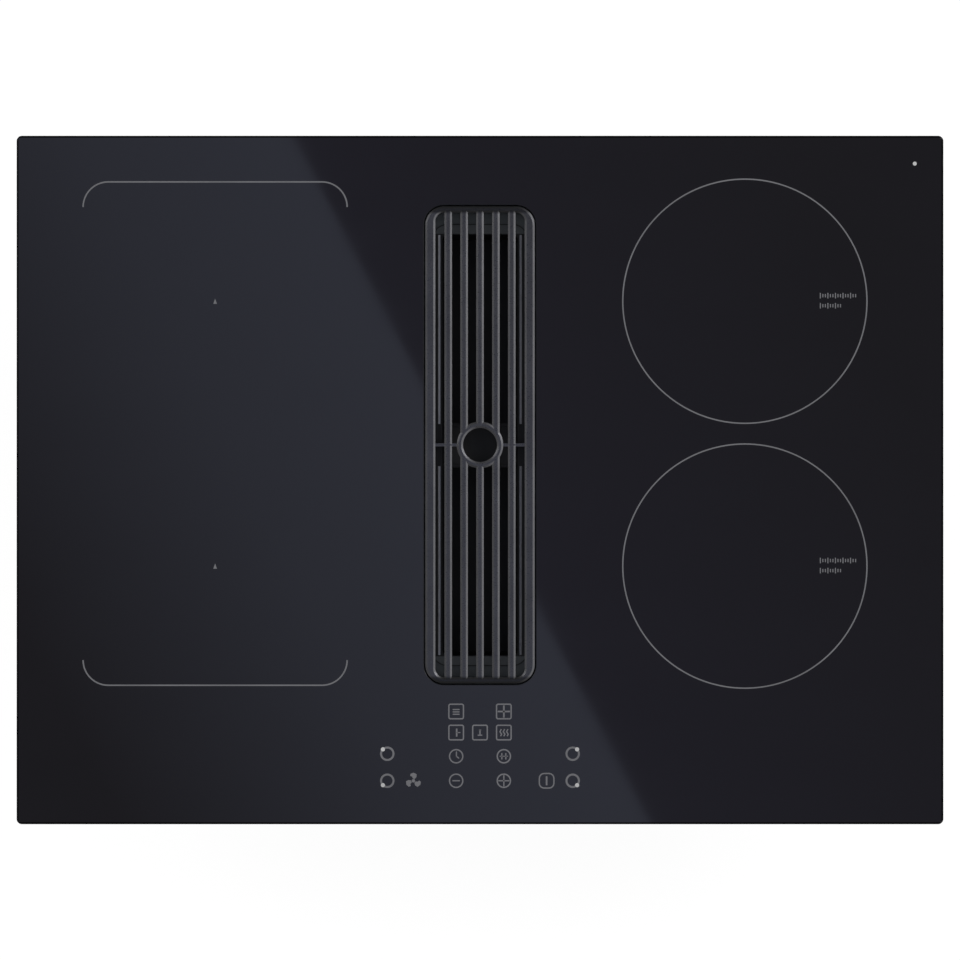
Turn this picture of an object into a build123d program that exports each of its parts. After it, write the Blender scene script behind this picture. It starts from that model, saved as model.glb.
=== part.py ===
from build123d import *
import os
from math import atan, cos, degrees, radians, sin, sqrt

# Downdraft induction cooktop: a black glass plate with four induction zones and a sunk air
# intake in its middle, over a sheet-steel electronics pan and a moulded extractor.
# Millimetres. +X is the user's right, +Y the back of the worktop, +Z up. The origin is at the
# centre of the glass in plan, on the worktop plane, which is the underside of the sealing tape.

# ---------------------------------------------------------------- glass and what it lies on
GLASS_X = 700.0
GLASS_Y = 520.0
GLASS_T = 4.0
GLASS_CORNER_R = 4.0
GLASS_BEVEL = 1.0
SEAL_T = 2.0
SEAL_W = 8.0
SEAL_INSET = 3.0
WORKTOP_LAP_X = 25.0  # glass beyond the worktop cut-out, left and right
WORKTOP_LAP_Y = 15.0  # glass beyond the worktop cut-out, front and back
GLASS_BOTTOM = SEAL_T
GLASS_TOP = GLASS_BOTTOM + GLASS_T
CUTOUT_X = GLASS_X - 2 * WORKTOP_LAP_X
CUTOUT_Y = GLASS_Y - 2 * WORKTOP_LAP_Y

# ---------------------------------------------------------------- air intake: grille and collar
INTAKE_REAR = 53.5  # glass behind the grille
INTAKE_FRONT = 106.5  # glass in front of the grille, where the touch keys are
GRILLE_X = 82.4
GRILLE_GAP = 1.2  # all round, to the edge of the glass
GRILLE_CORNER_R = 14.0
GRILLE_PROUD = 1.0  # the bars stand this far above the glass
SIDE_RAIL_W = 7.4
END_RAIL_W = 4.5
BAR_W = 5.6
BAR_PITCH = 12.0
BAR_COUNT = 5
BAR_FOOT_W = 3.8  # the bars taper to this at their underside
BAR_EDGE = 1.4  # width of the eased edge along every bar, seen from above
BAR_EDGE_DROP = 0.8  # and its depth
FINGER_HOLE_R = 12.9
FINGER_RING_W = 4.6
RIB_T = 2.2
RIB_DROP = 1.4
NOTCH_W = 1.2
NOTCH_DEPTH = 0.7
PAD_W = 5.6
PAD_T = 1.5
LEDGE_DEPTH = 12.0  # from the top of the glass down to the ledge that carries the grille
COLLAR_WALL = 2.0
COLLAR_LAP = 10.0  # flange bonded under the glass
THROAT_SIDE_LEDGE = 11.7  # width of the ledge along the long sides
THROAT_END_LEDGE = 19.5  # width of the ledge at the two ends
THROAT_CORNER_R = 6.0
THROAT_LIP = 8.0
LEDGE_NOSE = 0.9  # bevel round the ledge's inner edge
GRILLE_Y = GLASS_Y - INTAKE_REAR - INTAKE_FRONT
INTAKE_Y = (INTAKE_FRONT - INTAKE_REAR) / 2
RECESS_X = GRILLE_X + 2 * GRILLE_GAP
RECESS_Y = GRILLE_Y + 2 * GRILLE_GAP
RECESS_R = GRILLE_CORNER_R + GRILLE_GAP
LEDGE_TOP = GLASS_TOP - LEDGE_DEPTH
LEDGE_BOTTOM = LEDGE_TOP - COLLAR_WALL
THROAT_X = RECESS_X - 2 * THROAT_SIDE_LEDGE
THROAT_Y = RECESS_Y - 2 * THROAT_END_LEDGE
GRILLE_TOP = GLASS_TOP + GRILLE_PROUD
GRILLE_BOTTOM = LEDGE_TOP + PAD_T

# ---------------------------------------------------------------- grease filter and drip tray
FILTER_CLEAR = 1.0  # all round in the throat
FILTER_RIM_W = 5.8  # what the rim laps onto the ledge
FILTER_SHEET = 1.2
FILTER_DEPTH = 72.0
FILTER_KEEL_W = 18.0
FILTER_KEEL_H = 6.0
FILTER_WINDOWS = 3  # on each long side
FILTER_POST_W = 12.0
FILTER_BAND = 6.0  # solid sheet above and below the windows
MESH_T = 2.4
MESH_SLOTS = 9
MESH_SLOT_W = 20.0
HANDLE_W = 34.0
HANDLE_T = 2.5
HANDLE_DROP = 14.0  # below the filter's rim
HANDLE_BEAD_W = 2.5
HANDLE_BEAD_H = 1.5
TRAY_CLEAR = 2.2  # all round, so that the tray passes up the throat
TRAY_H = 26.0
TRAY_WALL = 1.5
TRAY_GRIP_H = 20.0
TRAY_GRIP_W = 34.0
TRAY_GRIP_BAR = 5.0

# ---------------------------------------------------------------- electronics pan
CLAMP_ROOM = 20.0  # between the pan and the cut-out, left and right
PAN_ROOM_Y = 10.0  # between the pan and the cut-out, front and back
PAN_T = 1.0
PAN_DEPTH = 52.0
PAN_TOP_GAP = 2.0  # from the pan's top edge to the glass
BOSS_R = 4.0
BOSS_H = 6.0
VENT_W = 5.0
VENT_COUNT = 5
VENT_SILL = 12.0  # front vents, above the pan's floor
VENT_H = 21.0
FRAME_T = 1.2
FRAME_LAP = 8.0
FRAME_SKIRT = 15.0
FRAME_CLEAR = 0.2
PAN_X = CUTOUT_X - 2 * CLAMP_ROOM
PAN_Y = CUTOUT_Y - 2 * PAN_ROOM_Y
PAN_TOP = GLASS_BOTTOM - PAN_TOP_GAP
PAN_BOTTOM = PAN_TOP - PAN_DEPTH
PAN_FLOOR = PAN_BOTTOM + PAN_T

# ---------------------------------------------------------------- induction zones
COIL_R = 88.0
COIL_INNER_R = 26.0
COIL_T = 4.0
COIL_SIDE_ROOM = 16.0  # from the coil to the pan's side
COIL_REAR_ROOM = 11.0  # from the rear coil to the pan's back
ZONE_PITCH = 200.0  # front coil to rear coil
MICA_T = 0.6
MICA_MARGIN = 3.0
CARRIER_T = 8.0
CARRIER_ARM_W = 16.0
CARRIER_ARMS = 6
CARRIER_HUB_R = 20.0
CARRIER_RIM_W = 4.0
FERRITE_W = 10.0
FERRITE_H = 4.0
FERRITE_FIT = 0.2
SENSOR_R = 6.0
SENSOR_FIT = 0.5
BRIDGE_T = 1.5
BRIDGE_MARGIN = 4.0
BRIDGE_FOOT = 10.0
BRIDGE_WINDOW_R = 14.0
BRIDGE_WINDOW_OUT = 53.0  # from the winding's middle
COIL_X = PAN_X / 2 - PAN_T - COIL_SIDE_ROOM - COIL_R
COIL_Y_REAR = PAN_Y / 2 - PAN_T - COIL_REAR_ROOM - COIL_R
COIL_Y_FRONT = COIL_Y_REAR - ZONE_PITCH
COIL_TOP = GLASS_BOTTOM - MICA_T
CARRIER_TOP = COIL_TOP - COIL_T
BRIDGE_TOP = CARRIER_TOP - CARRIER_T

# ---------------------------------------------------------------- power electronics and fans
BOARD_T = 1.6
BOARD_X = 150.0
BOARD_Y = 190.0
BOARD_FRONT_ROOM = 60.0  # from the board to the pan's front
BOARD_SIDE_ROOM = 30.0
SINK_X = 60.0
SINK_Y = 130.0
SINK_BASE = 4.0
SINK_H = 24.0
SINK_OFFSET = 10.0  # behind the board's middle
FIN_T = 1.6
FIN_COUNT = 8
PART_R = 8.0  # capacitors on the power boards
PART_H = 18.0
PART_COUNT = 2
FAN_SIZE = 72.0
FAN_H = 20.0
FAN_BORE_R = 33.0
FAN_HUB_R = 16.0
FAN_TIP_CLEAR = 1.0
FAN_HUB_GAP = 0.3  # between the hub and the plate it turns on
FAN_BLADES = 7
FAN_CHORD = 18.0
FAN_PITCH = 38.0
FAN_BLADE_T = 1.4
FAN_REAR_ROOM = 30.0  # from the fan to the pan's back
FAN_FLOOR_T = 3.0
FAN_STRUT_W = 5.0
FAN_STRUT_ANGLES = (45, 135)
FAN_BLADE_ROOT = 2.0  # how far a blade's root reaches into the hub
FAN_CAP_R = 2.0  # the bearing's cap on the hub
FAN_CAP_H = 0.6
MAINS_BOARD_X = 52.0
MAINS_BOARD_Y = 50.0
MAINS_SHAFT_ROOM = 8.0  # from the shaft to the mains board
MAINS_REAR_ROOM = 8.0
FAN_Y = PAN_Y / 2 - PAN_T - FAN_REAR_ROOM - FAN_SIZE / 2
BOARD_CX = PAN_X / 2 - PAN_T - BOARD_SIDE_ROOM - BOARD_X / 2
BOARD_CY = -PAN_Y / 2 + PAN_T + BOARD_FRONT_ROOM + BOARD_Y / 2
BOARD_Z = PAN_FLOOR + BOSS_H

# ---------------------------------------------------------------- touch control
KEY_COLUMN = 18.0  # the middle key columns stand this far from the centre line
KEY_POWER_X = 50.3
KEY_ZONE_X = 70.0
KEY_ROW_FRONT = 32.9  # front key row, from the front edge of the glass
KEY_ROW_TIMER = 51.4
KEY_ROW_LEVEL = 69.3
KEY_ROW_TOP = 85.2
KEY_PAD = 8.0
PANEL_X = 170.0
PANEL_FRONT = 30.0  # panel board's front edge, from the front edge of the glass
PANEL_REAR = 91.0
PANEL_DROP = 5.4  # from the glass to the board
PANEL_TRAY_T = 2.0
PANEL_LEG = 9.0
PANEL_Y = -GLASS_Y / 2 + (PANEL_FRONT + PANEL_REAR) / 2
PANEL_TOP = GLASS_BOTTOM - PANEL_DROP

# ---------------------------------------------------------------- extractor: shaft and blower
SHAFT_X = 86.0
SHAFT_END_ROOM = 6.0  # shaft beyond the throat, at each end
SHAFT_WALL = 2.5
SHAFT_R = 10.0
SHAFT_FLANGE_T = 3.0
SHAFT_FLANGE_W = 14.0
GASKET_T = 3.0
PAN_SHAFT_CLEAR = 1.0
EXTRACTOR_BASE = 205.0  # from the worktop plane down to the foot of the shaft
BLOWER_X = 158.0
BLOWER_Y = -25.0
DUCT_R = 78.0  # half-width of the crossover duct
DUCT_H = 37.0
DUCT_WALL = 2.0
DUCT_LIP = 8.0
DUCT_SCREW_ANGLES = (0, 60, 300)  # round the eye; two more stand by the shaft
DUCT_ROOM = 1.0  # between the shaft's flange and the crossover duct
COVER_T = 2.5
EYE_R = 52.0
EYE_NECK = 8.0
EYE_MOUTH = 2.0  # bevel round the eye's upper edge
SCROLL_R0 = 81.0  # at the tongue
SCROLL_R1 = 133.0  # at the outlet
SCROLL_TONGUE = 50.0  # degrees round from +X
SCROLL_OUTLET = 97.0  # from the blower's axis to the outlet face
SCROLL_STEPS = 31  # straight steps that the spiral is drawn with
SCROLL_H = 70.0
SCROLL_WALL = 2.5
SCROLL_LIP = 8.0
SCROLL_LIP_T = 3.0
SCROLL_SCREW_1 = 84.0  # degrees; the ribs stand midway between the screws
SCROLL_SCREW_STEP = 56.0
SCROLL_RIBS = 5
SCROLL_RIB_T = 2.0
POST_R = 6.0
IMPELLER_R = 75.0
IMPELLER_INNER_R = 61.0
IMPELLER_PLATE_T = 2.0
IMPELLER_H = 52.0
IMPELLER_FLOOR_GAP = 4.0  # over the scroll's floor
IMPELLER_RING_W = 10.0  # the ring that ties the blades at the top
IMPELLER_RING_T = 2.4
IMPELLER_BLADES = 24
BLADE_T = 1.2
BLADE_BEND = -3.0  # degrees that a blade's middle trails its root
BLADE_TIP_BEND = -1.8  # and its tip
HUB_R = 24.0
HUB_TOP_R = 9.0
HUB_H = 26.0
SPINDLE_R = 4.0
SPINDLE_FIT = 0.05
HUB_FIT = 0.02
SPINDLE_GRIP = 16.0  # depth of the spindle inside the motor
SPINDLE_PROUD = 3.0  # above the hub
MOTOR_R = 44.0
MOTOR_EAR_R = 9.0
MOTOR_EAR_T = 3.0
MOTOR_SLOTS = 6
MOTOR_SLOT_W = 8.0
MOTOR_SLOT_H = 19.0
MOTOR_SLOT_DEPTH = 3.0
MOTOR_EAR_ANGLES = (90, 210, 330)
MOTOR_SPIGOT_R = 14.0
BUSH_R = 6.0
BUSH_H = 4.0
SHAFT_TOP = LEDGE_BOTTOM - GASKET_T
SHAFT_BOTTOM = -EXTRACTOR_BASE
SHAFT_FLOOR = SHAFT_BOTTOM + SHAFT_WALL
SHAFT_Y = THROAT_Y + 2 * SHAFT_END_ROOM + 2 * SHAFT_WALL
DUCT_TOP = PAN_BOTTOM - SHAFT_FLANGE_T - DUCT_ROOM
COVER_TOP = DUCT_TOP - DUCT_H
COVER_BOTTOM = COVER_TOP - COVER_T
SCROLL_FLOOR = COVER_BOTTOM - SCROLL_H
SCROLL_BOTTOM = SCROLL_FLOOR - SCROLL_WALL
MOTOR_TOP = SCROLL_BOTTOM - BUSH_H
IMPELLER_BOTTOM = SCROLL_FLOOR + IMPELLER_FLOOR_GAP
TONGUE_X = SCROLL_R0 * cos(radians(SCROLL_TONGUE))
OUTLET_Y = BLOWER_Y + SCROLL_OUTLET
MAINS_X = -(SHAFT_X / 2 + MAINS_SHAFT_ROOM + MAINS_BOARD_X / 2)
MAINS_Y = PAN_Y / 2 - PAN_T - MAINS_REAR_ROOM - MAINS_BOARD_Y / 2

# ---------------------------------------------------------------- outlet spigot and flaps
SPIGOT_X = 218.0  # slides into a flat duct, 222 x 89 inside
SPIGOT_Z = 85.0
SPIGOT_WALL = 2.0
SPIGOT_R = 5.0
SPIGOT_L = 52.0
SPIGOT_BACK_ROOM = 6.0  # from the spigot's end to the back of the cut-out
SPIGOT_SIDE_ROOM = 5.0  # from the spigot to the pan's side, in plan
OUTLET_FLANGE_T = 3.0
FLAP_T = 1.5
FLAP_PIN_R = 1.5
FLAP_PIN_FIT = 0.08
FLAP_SIDE_CLEAR = 1.0
FLAP_SEAT = 3.5
FLAP_SEAT_T = 2.5
FLAP_SEAT_CLEAR = 0.3
FLAP_FROM_SEAM = 8.0  # flap seat, from where the spigot leaves the diffuser
FLAP_PIN_DROP = 2.0  # hinge line below the top of its opening
FLAP_FOOT_CLEAR = 0.8
FLAP_RIB_GAP = 4.0  # from a leaf's ends to its ribs
FLAP_PIN_END = 0.2  # from a pin's end to the outside of the spigot
SPIGOT_END = CUTOUT_Y / 2 - SPIGOT_BACK_ROOM
SPIGOT_START = SPIGOT_END - SPIGOT_L
SPIGOT_CX = PAN_X / 2 - SPIGOT_SIDE_ROOM - SPIGOT_X / 2
SPIGOT_CZ = (SCROLL_FLOOR + COVER_BOTTOM) / 2
SPIGOT_IN_X = SPIGOT_X - 2 * SPIGOT_WALL
SPIGOT_IN_Z = SPIGOT_Z - 2 * SPIGOT_WALL
FLAP_Y = SPIGOT_START + FLAP_FROM_SEAM + FLAP_SEAT_T + FLAP_SEAT_CLEAR + FLAP_PIN_R

# ---------------------------------------------------------------- worktop clamps
CLAMP_Y = 165.0
CLAMP_SHEET = 2.0
CLAMP_W = 26.0
CLAMP_TOP_DROP = 14.0  # top of the bracket, below the worktop plane
CLAMP_H = 34.0
CLAMP_EAR = 17.0
CLAMP_SCREW_R = 2.5
CLAMP_SCREW_FIT = 0.1
CLAMP_SCREW_OUT = 10.0  # screw's axis, from the pan's side
CLAMP_HEAD_R = 4.6
CLAMP_HEAD_H = 4.0
CLAMP_CLIP_R = 4.2
CLAMP_CLIP_T = 1.0
CLAW_T = 8.0
CLAW_W = 12.0
CLAW_L = 32.0
CLAW_TIP_T = 4.0
CLAW_RELIEF = 8.4  # the slope under a claw starts this far from its screw
CLAMP_HIGH = -CLAMP_TOP_DROP
CLAMP_LOW = CLAMP_HIGH - CLAMP_H
CLAMP_AXIS_X = PAN_X / 2 + CLAMP_SCREW_OUT

# ---------------------------------------------------------------- mains terminal
TERMINAL_X = -114.0
TERMINAL_W = 76.0
TERMINAL_D = 62.0
TERMINAL_H = 26.0
TERMINAL_WALL = 2.0
TERMINAL_REAR_ROOM = 54.0  # from the cover to the pan's back
GLAND_R = 6.5
GLAND_BOSS_R = 11.0
GLAND_NECK_R = 9.0
GLAND_NUT_T = 3.0
GLAND_FIT = 0.1
GLAND_L = 12.0
BLOCK_W = 60.0
BLOCK_D = 22.0
BLOCK_H = 15.0
BLOCK_POLES = 6
BLOCK_CAGE_W = 4.4
BLOCK_SEAT = 6.0  # from the pan down to the block's screw heads
BLOCK_FIT = 0.5
TERMINAL_Y = PAN_Y / 2 - TERMINAL_REAR_ROOM - TERMINAL_D / 2

# ---------------------------------------------------------------- screws and small round pieces
ROUND_SIDES = 20  # sides of the repeated pieces that are round on the real product
PIN_SIDES = 12  # sides of the small ones
WALL_SIDES = 32  # sides of the extractor's big round walls, a multiple of four
SCREW_R = 1.75
SCREW_HEAD_R = 3.6
SCREW_HEAD_H = 2.4
SCREW_FIT = 0.15
SCREW_BITE = 5.0  # beyond what a screw clamps
MOTOR_SCREW_PROUD = 1.5  # above the scroll's floor, less the nut post


# ================================================================ shared shapes
def slab(size_x, size_y, low, high, corner=0.0, x=0.0, y=0.0):
    """An upright block between two heights, with its corners rounded in plan."""
    outline = RectangleRounded(size_x, size_y, corner) if corner else Rectangle(size_x, size_y)
    return extrude(Pos(x, y, low) * outline, amount=high - low)


def frame_ring(size_x, size_y, wall, low, high, corner=0.0, x=0.0, y=0.0):
    """An upright rectangular ring: outer size, wall, and the two heights."""
    outer = slab(size_x, size_y, low, high, corner, x, y)
    inner_corner = max(corner - wall, 0.0)
    return outer - slab(size_x - 2 * wall, size_y - 2 * wall, low, high, inner_corner, x, y)


def rod(radius, low, high, x=0.0, y=0.0):
    """An upright round bar."""
    return extrude(Pos(x, y, low) * Circle(radius), amount=high - low)


def flat_sided(radius, low, high, x=0.0, y=0.0, sides=6):
    """An upright bar with flat sides, such as a screw's head; six unless told otherwise."""
    return extrude(Pos(x, y, low) * RegularPolygon(radius, sides), amount=high - low)


def polygon_prism(points, low, high):
    """An upright prism on an outline of straight edges."""
    return extrude(Pos(0, 0, low) * make_face(Polyline(*points, close=True)), amount=high - low)


def side_prism(points, y0, y1, x=0.0):
    """A prism along Y on an outline given as (x, z)."""
    outline = Polyline(*[(x + px, y0, pz) for px, pz in points], close=True)
    return extrude(make_face(outline), amount=y1 - y0, dir=(0, 1, 0))


def cross_prism(points, x0, x1):
    """A prism along X on an outline given as (y, z)."""
    outline = Polyline(*[(x0, y, z) for y, z in points], close=True)
    return extrude(make_face(outline), amount=x1 - x0, dir=(1, 0, 0))


def screw_up(x, y, seat, length):
    """A hex-head screw driven upwards: its head hangs below the seat, its shank has few sides."""
    head = flat_sided(SCREW_HEAD_R, seat - SCREW_HEAD_H, seat, x, y)
    return head + flat_sided(SCREW_R, seat, seat + length, x, y)


def screw_hole(x, y, low, high):
    """The clearance hole that a screw passes through, with as few sides as its shank."""
    return flat_sided(SCREW_R + SCREW_FIT, low, high, x, y)


# ================================================================ glass, seal and frame
def glass_top():
    """The glass plate, ground all round, with the intake opening cut through it."""
    plate = slab(GLASS_X, GLASS_Y, GLASS_BOTTOM, GLASS_TOP, GLASS_CORNER_R)
    plate = chamfer(plate.faces().sort_by(Axis.Z)[-1].edges(), GLASS_BEVEL)
    opening = slab(RECESS_X, RECESS_Y, GLASS_BOTTOM, GLASS_TOP, RECESS_R, 0, INTAKE_Y)
    return plate - opening


def worktop_seal():
    """The foam tape that the glass lies on."""
    outer_x = GLASS_X - 2 * SEAL_INSET
    outer_y = GLASS_Y - 2 * SEAL_INSET
    return frame_ring(outer_x, outer_y, SEAL_W, 0, SEAL_T)


def glass_frame():
    """The steel angle bonded under the glass, whose skirt the pan is screwed into."""
    skirt_x = PAN_X + 2 * (FRAME_CLEAR + FRAME_T)
    skirt_y = PAN_Y + 2 * (FRAME_CLEAR + FRAME_T)
    leg_low = GLASS_BOTTOM - FRAME_T
    leg_x = skirt_x + 2 * FRAME_LAP
    leg_y = skirt_y + 2 * FRAME_LAP
    leg = frame_ring(leg_x, leg_y, FRAME_LAP + FRAME_T, leg_low, GLASS_BOTTOM)
    skirt = frame_ring(skirt_x, skirt_y, FRAME_T, GLASS_BOTTOM - FRAME_SKIRT, leg_low)
    frame = leg + skirt
    for side in (-1, 1):
        for y in frame_screw_rows():
            frame -= side_bolt(SCREW_R + SCREW_FIT, side, PAN_X / 2, skirt_x / 2, y)
    return frame


# ================================================================ intake collar and grille
def inlet_collar():
    """The moulded tub under the glass: bonded flange, recess wall, ledge and throat lip."""
    outer_x = RECESS_X + 2 * COLLAR_WALL
    outer_y = RECESS_Y + 2 * COLLAR_WALL
    flange_low = GLASS_BOTTOM - COLLAR_WALL
    flange_x = RECESS_X + 2 * COLLAR_LAP
    flange_y = RECESS_Y + 2 * COLLAR_LAP
    flange = slab(flange_x, flange_y, flange_low, GLASS_BOTTOM, 0, 0, INTAKE_Y)
    tub = slab(outer_x, outer_y, LEDGE_BOTTOM, flange_low, RECESS_R + COLLAR_WALL, 0, INTAKE_Y)
    throat_low = LEDGE_BOTTOM - THROAT_LIP
    lip_x = THROAT_X + 2 * COLLAR_WALL
    lip_y = THROAT_Y + 2 * COLLAR_WALL
    lip = slab(lip_x, lip_y, throat_low, LEDGE_BOTTOM, 0, 0, INTAKE_Y)
    recess = slab(RECESS_X, RECESS_Y, LEDGE_TOP, GLASS_BOTTOM, RECESS_R, 0, INTAKE_Y)
    throat = slab(THROAT_X, THROAT_Y, throat_low, LEDGE_TOP, THROAT_CORNER_R, 0, INTAKE_Y)
    collar = flange + tub + lip - recess - throat
    ledge = collar.faces().filter_by(Axis.Z).filter_by(
        lambda f: abs(f.center().Z - LEDGE_TOP) < 1e-6
    )
    nose = ledge[0].inner_wires()[0].edges()
    return chamfer(nose, LEDGE_NOSE)


def intake_gasket():
    """The foam ring between the collar's ledge and the top of the shaft."""
    return frame_ring(SHAFT_X, SHAFT_Y, SHAFT_WALL, SHAFT_TOP, LEDGE_BOTTOM, 0, 0, INTAKE_Y)


def bar_section(width):
    """A bar's upright section in X and Z: bevelled along its top edges, tapered to its foot."""
    side = width / 2
    foot = side - (BAR_W - BAR_FOOT_W) / 2
    crown = side - BAR_EDGE
    shoulder = GRILLE_TOP - BAR_EDGE_DROP
    half = [(foot, GRILLE_BOTTOM), (side, shoulder), (crown, GRILLE_TOP)]
    other = [(-x, z) for x, z in reversed(half)]
    return make_face(Polyline(*half, *other, close=True))


def ease_top(shape):
    """Ease every edge of a casting's highest face."""
    top = shape.faces().sort_by(Axis.Z)[-1]
    return chamfer(top.edges(), BAR_EDGE, BAR_EDGE_DROP, reference=top)


def grille_bar(x, width, y0, y1):
    """A straight bar of the grille from y0 to y1."""
    plane = Plane(origin=(x, y0, 0), x_dir=(-1, 0, 0), z_dir=(0, 1, 0))
    return extrude(plane * bar_section(width), amount=y1 - y0)


def grille():
    """The cast grille: outer frame, five bars, a cross rib and the round finger hole."""
    ring_r = FINGER_HOLE_R + FINGER_RING_W
    half_y = GRILLE_Y / 2
    inner_y = half_y - END_RAIL_W
    casting = slab(
        GRILLE_X, GRILLE_Y, GRILLE_BOTTOM, GRILLE_TOP, GRILLE_CORNER_R, 0, INTAKE_Y
    ) - slab(
        GRILLE_X - 2 * SIDE_RAIL_W,
        GRILLE_Y - 2 * END_RAIL_W,
        GRILLE_BOTTOM,
        GRILLE_TOP,
        GRILLE_CORNER_R - SIDE_RAIL_W,
        0,
        INTAKE_Y,
    )
    casting = ease_top(casting)
    for i in range(BAR_COUNT):
        x = (i - (BAR_COUNT - 1) / 2) * BAR_PITCH
        casting += grille_bar(x, BAR_W, INTAKE_Y - inner_y - 1, INTAKE_Y + inner_y + 1)
    rib_half = GRILLE_X / 2 - SIDE_RAIL_W + 1
    casting += slab(2 * rib_half, RIB_T, GRILLE_BOTTOM, GRILLE_TOP - RIB_DROP, 0, 0, INTAKE_Y)
    notch = slab(2 * rib_half - 2, NOTCH_W, GRILLE_TOP - NOTCH_DEPTH, GRILLE_TOP, 0, 0, INTAKE_Y)
    finger_ring = rod(ring_r, GRILLE_BOTTOM, GRILLE_TOP, 0, INTAKE_Y)
    finger_ring -= rod(FINGER_HOLE_R, GRILLE_BOTTOM, GRILLE_TOP, 0, INTAKE_Y)
    finger_ring = ease_top(finger_ring)
    inside = rod((FINGER_HOLE_R + ring_r) / 2, GRILLE_BOTTOM, GRILLE_TOP, 0, INTAKE_Y)
    return casting - notch - inside + finger_ring


def grille_pads():
    """Four rubber pads under the grille's bar ends, which stand on the ledge."""
    x = (BAR_COUNT - 1) / 2 * BAR_PITCH
    y = GRILLE_Y / 2 - PAD_W / 2 - 1
    spots = [(sx * x, INTAKE_Y + sy * y) for sx in (-1, 1) for sy in (-1, 1)]
    return [slab(PAD_W, PAD_W, LEDGE_TOP, GRILLE_BOTTOM, 0, px, py) for px, py in spots]


# ================================================================ grease filter and drip tray
def filter_frame():
    """The steel cassette that hangs in the throat: rim, windowed walls and a keel for grease."""
    size_x = THROAT_X - 2 * FILTER_CLEAR
    size_y = THROAT_Y - 2 * FILTER_CLEAR
    low = LEDGE_TOP - FILTER_DEPTH
    corner = THROAT_CORNER_R - FILTER_CLEAR
    rim_x = THROAT_X + 2 * FILTER_RIM_W
    rim_y = THROAT_Y + 2 * FILTER_RIM_W
    rim_corner = THROAT_CORNER_R + FILTER_RIM_W
    rim_top = LEDGE_TOP + FILTER_SHEET
    shell = slab(rim_x, rim_y, LEDGE_TOP, rim_top, rim_corner, 0, INTAKE_Y)
    shell += slab(size_x, size_y, low, LEDGE_TOP, corner, 0, INTAKE_Y)
    inner_x = size_x - 2 * FILTER_SHEET
    inner_y = size_y - 2 * FILTER_SHEET
    floor = low + FILTER_SHEET
    shell -= slab(inner_x, inner_y, floor, rim_top, corner - FILTER_SHEET, 0, INTAKE_Y)
    window_high = LEDGE_TOP - HANDLE_DROP - HANDLE_T - FILTER_BAND
    window_low = low + FILTER_BAND
    pitch = (size_y - 2 * THROAT_CORNER_R) / FILTER_WINDOWS
    for i in range(FILTER_WINDOWS):
        y = INTAKE_Y + (i - (FILTER_WINDOWS - 1) / 2) * pitch
        shell -= slab(size_x + 1, pitch - FILTER_POST_W, window_low, window_high, 0, 0, y)
    keel = side_prism(
        [(-FILTER_KEEL_W / 2, low), (FILTER_KEEL_W / 2, low), (0, low - FILTER_KEEL_H)],
        INTAKE_Y - size_y / 2 + THROAT_CORNER_R,
        INTAKE_Y + size_y / 2 - THROAT_CORNER_R,
    )
    return shell + keel


def filter_mesh():
    """The two expanded-metal panels that line the cassette's long sides below its handle."""
    low = LEDGE_TOP - FILTER_DEPTH + FILTER_SHEET
    high = LEDGE_TOP - HANDLE_DROP - HANDLE_T
    length = THROAT_Y - 2 * THROAT_CORNER_R
    x = THROAT_X / 2 - FILTER_CLEAR - FILTER_SHEET - MESH_T / 2
    pitch = length / MESH_SLOTS
    panels = []
    for side in (-1, 1):
        panel = slab(MESH_T, length, low, high, 0, side * x, INTAKE_Y)
        for i in range(MESH_SLOTS):
            y = INTAKE_Y + (i - (MESH_SLOTS - 1) / 2) * pitch
            slot_low = low + 2 * MESH_T
            slot_high = high - 2 * MESH_T
            panel -= slab(2 * MESH_T, MESH_SLOT_W, slot_low, slot_high, 0, side * x, y)
        panels.append(panel)
    return panels


def filter_handle():
    """The broad strap across the cassette, seen through the finger hole, beaded on both edges."""
    high = LEDGE_TOP - HANDLE_DROP
    span = THROAT_X - 2 * FILTER_CLEAR - 2 * FILTER_SHEET
    strap = slab(span, HANDLE_W, high - HANDLE_T, high, 0, 0, INTAKE_Y)
    for side in (-1, 1):
        y = INTAKE_Y + side * (HANDLE_W - HANDLE_BEAD_W) / 2
        strap += slab(span, HANDLE_BEAD_W, high, high + HANDLE_BEAD_H, 0, 0, y)
    return strap


def drip_tray():
    """The tray for liquid spilt into the intake, with an upright finger grip at each end."""
    size_x = THROAT_X - 2 * TRAY_CLEAR
    size_y = THROAT_Y - 2 * TRAY_CLEAR
    corner = THROAT_CORNER_R
    high = SHAFT_FLOOR + TRAY_H
    tray = slab(size_x, size_y, SHAFT_FLOOR, high, corner, 0, INTAKE_Y)
    inner_x = size_x - 2 * TRAY_WALL
    inner_y = size_y - 2 * TRAY_WALL
    tray -= slab(
        inner_x, inner_y, SHAFT_FLOOR + TRAY_WALL, high, corner - TRAY_WALL, 0, INTAKE_Y
    )
    for side in (-1, 1):
        y = INTAKE_Y + side * (size_y / 2 - TRAY_WALL / 2)
        grip_top = high + TRAY_GRIP_H
        grip = slab(TRAY_GRIP_W, TRAY_WALL, high, grip_top, 0, 0, y)
        slot_x = TRAY_GRIP_W - 2 * TRAY_GRIP_BAR
        slot_low = high + TRAY_GRIP_BAR
        slot = slab(slot_x, 3 * TRAY_WALL, slot_low, grip_top - TRAY_GRIP_BAR, 0, 0, y)
        tray += grip - slot
    return tray


# ================================================================ electronics pan
def pan_spots():
    """Where the two fans sit over the pan's vents."""
    return [(side * BOARD_CX, FAN_Y) for side in (-1, 1)]


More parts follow.
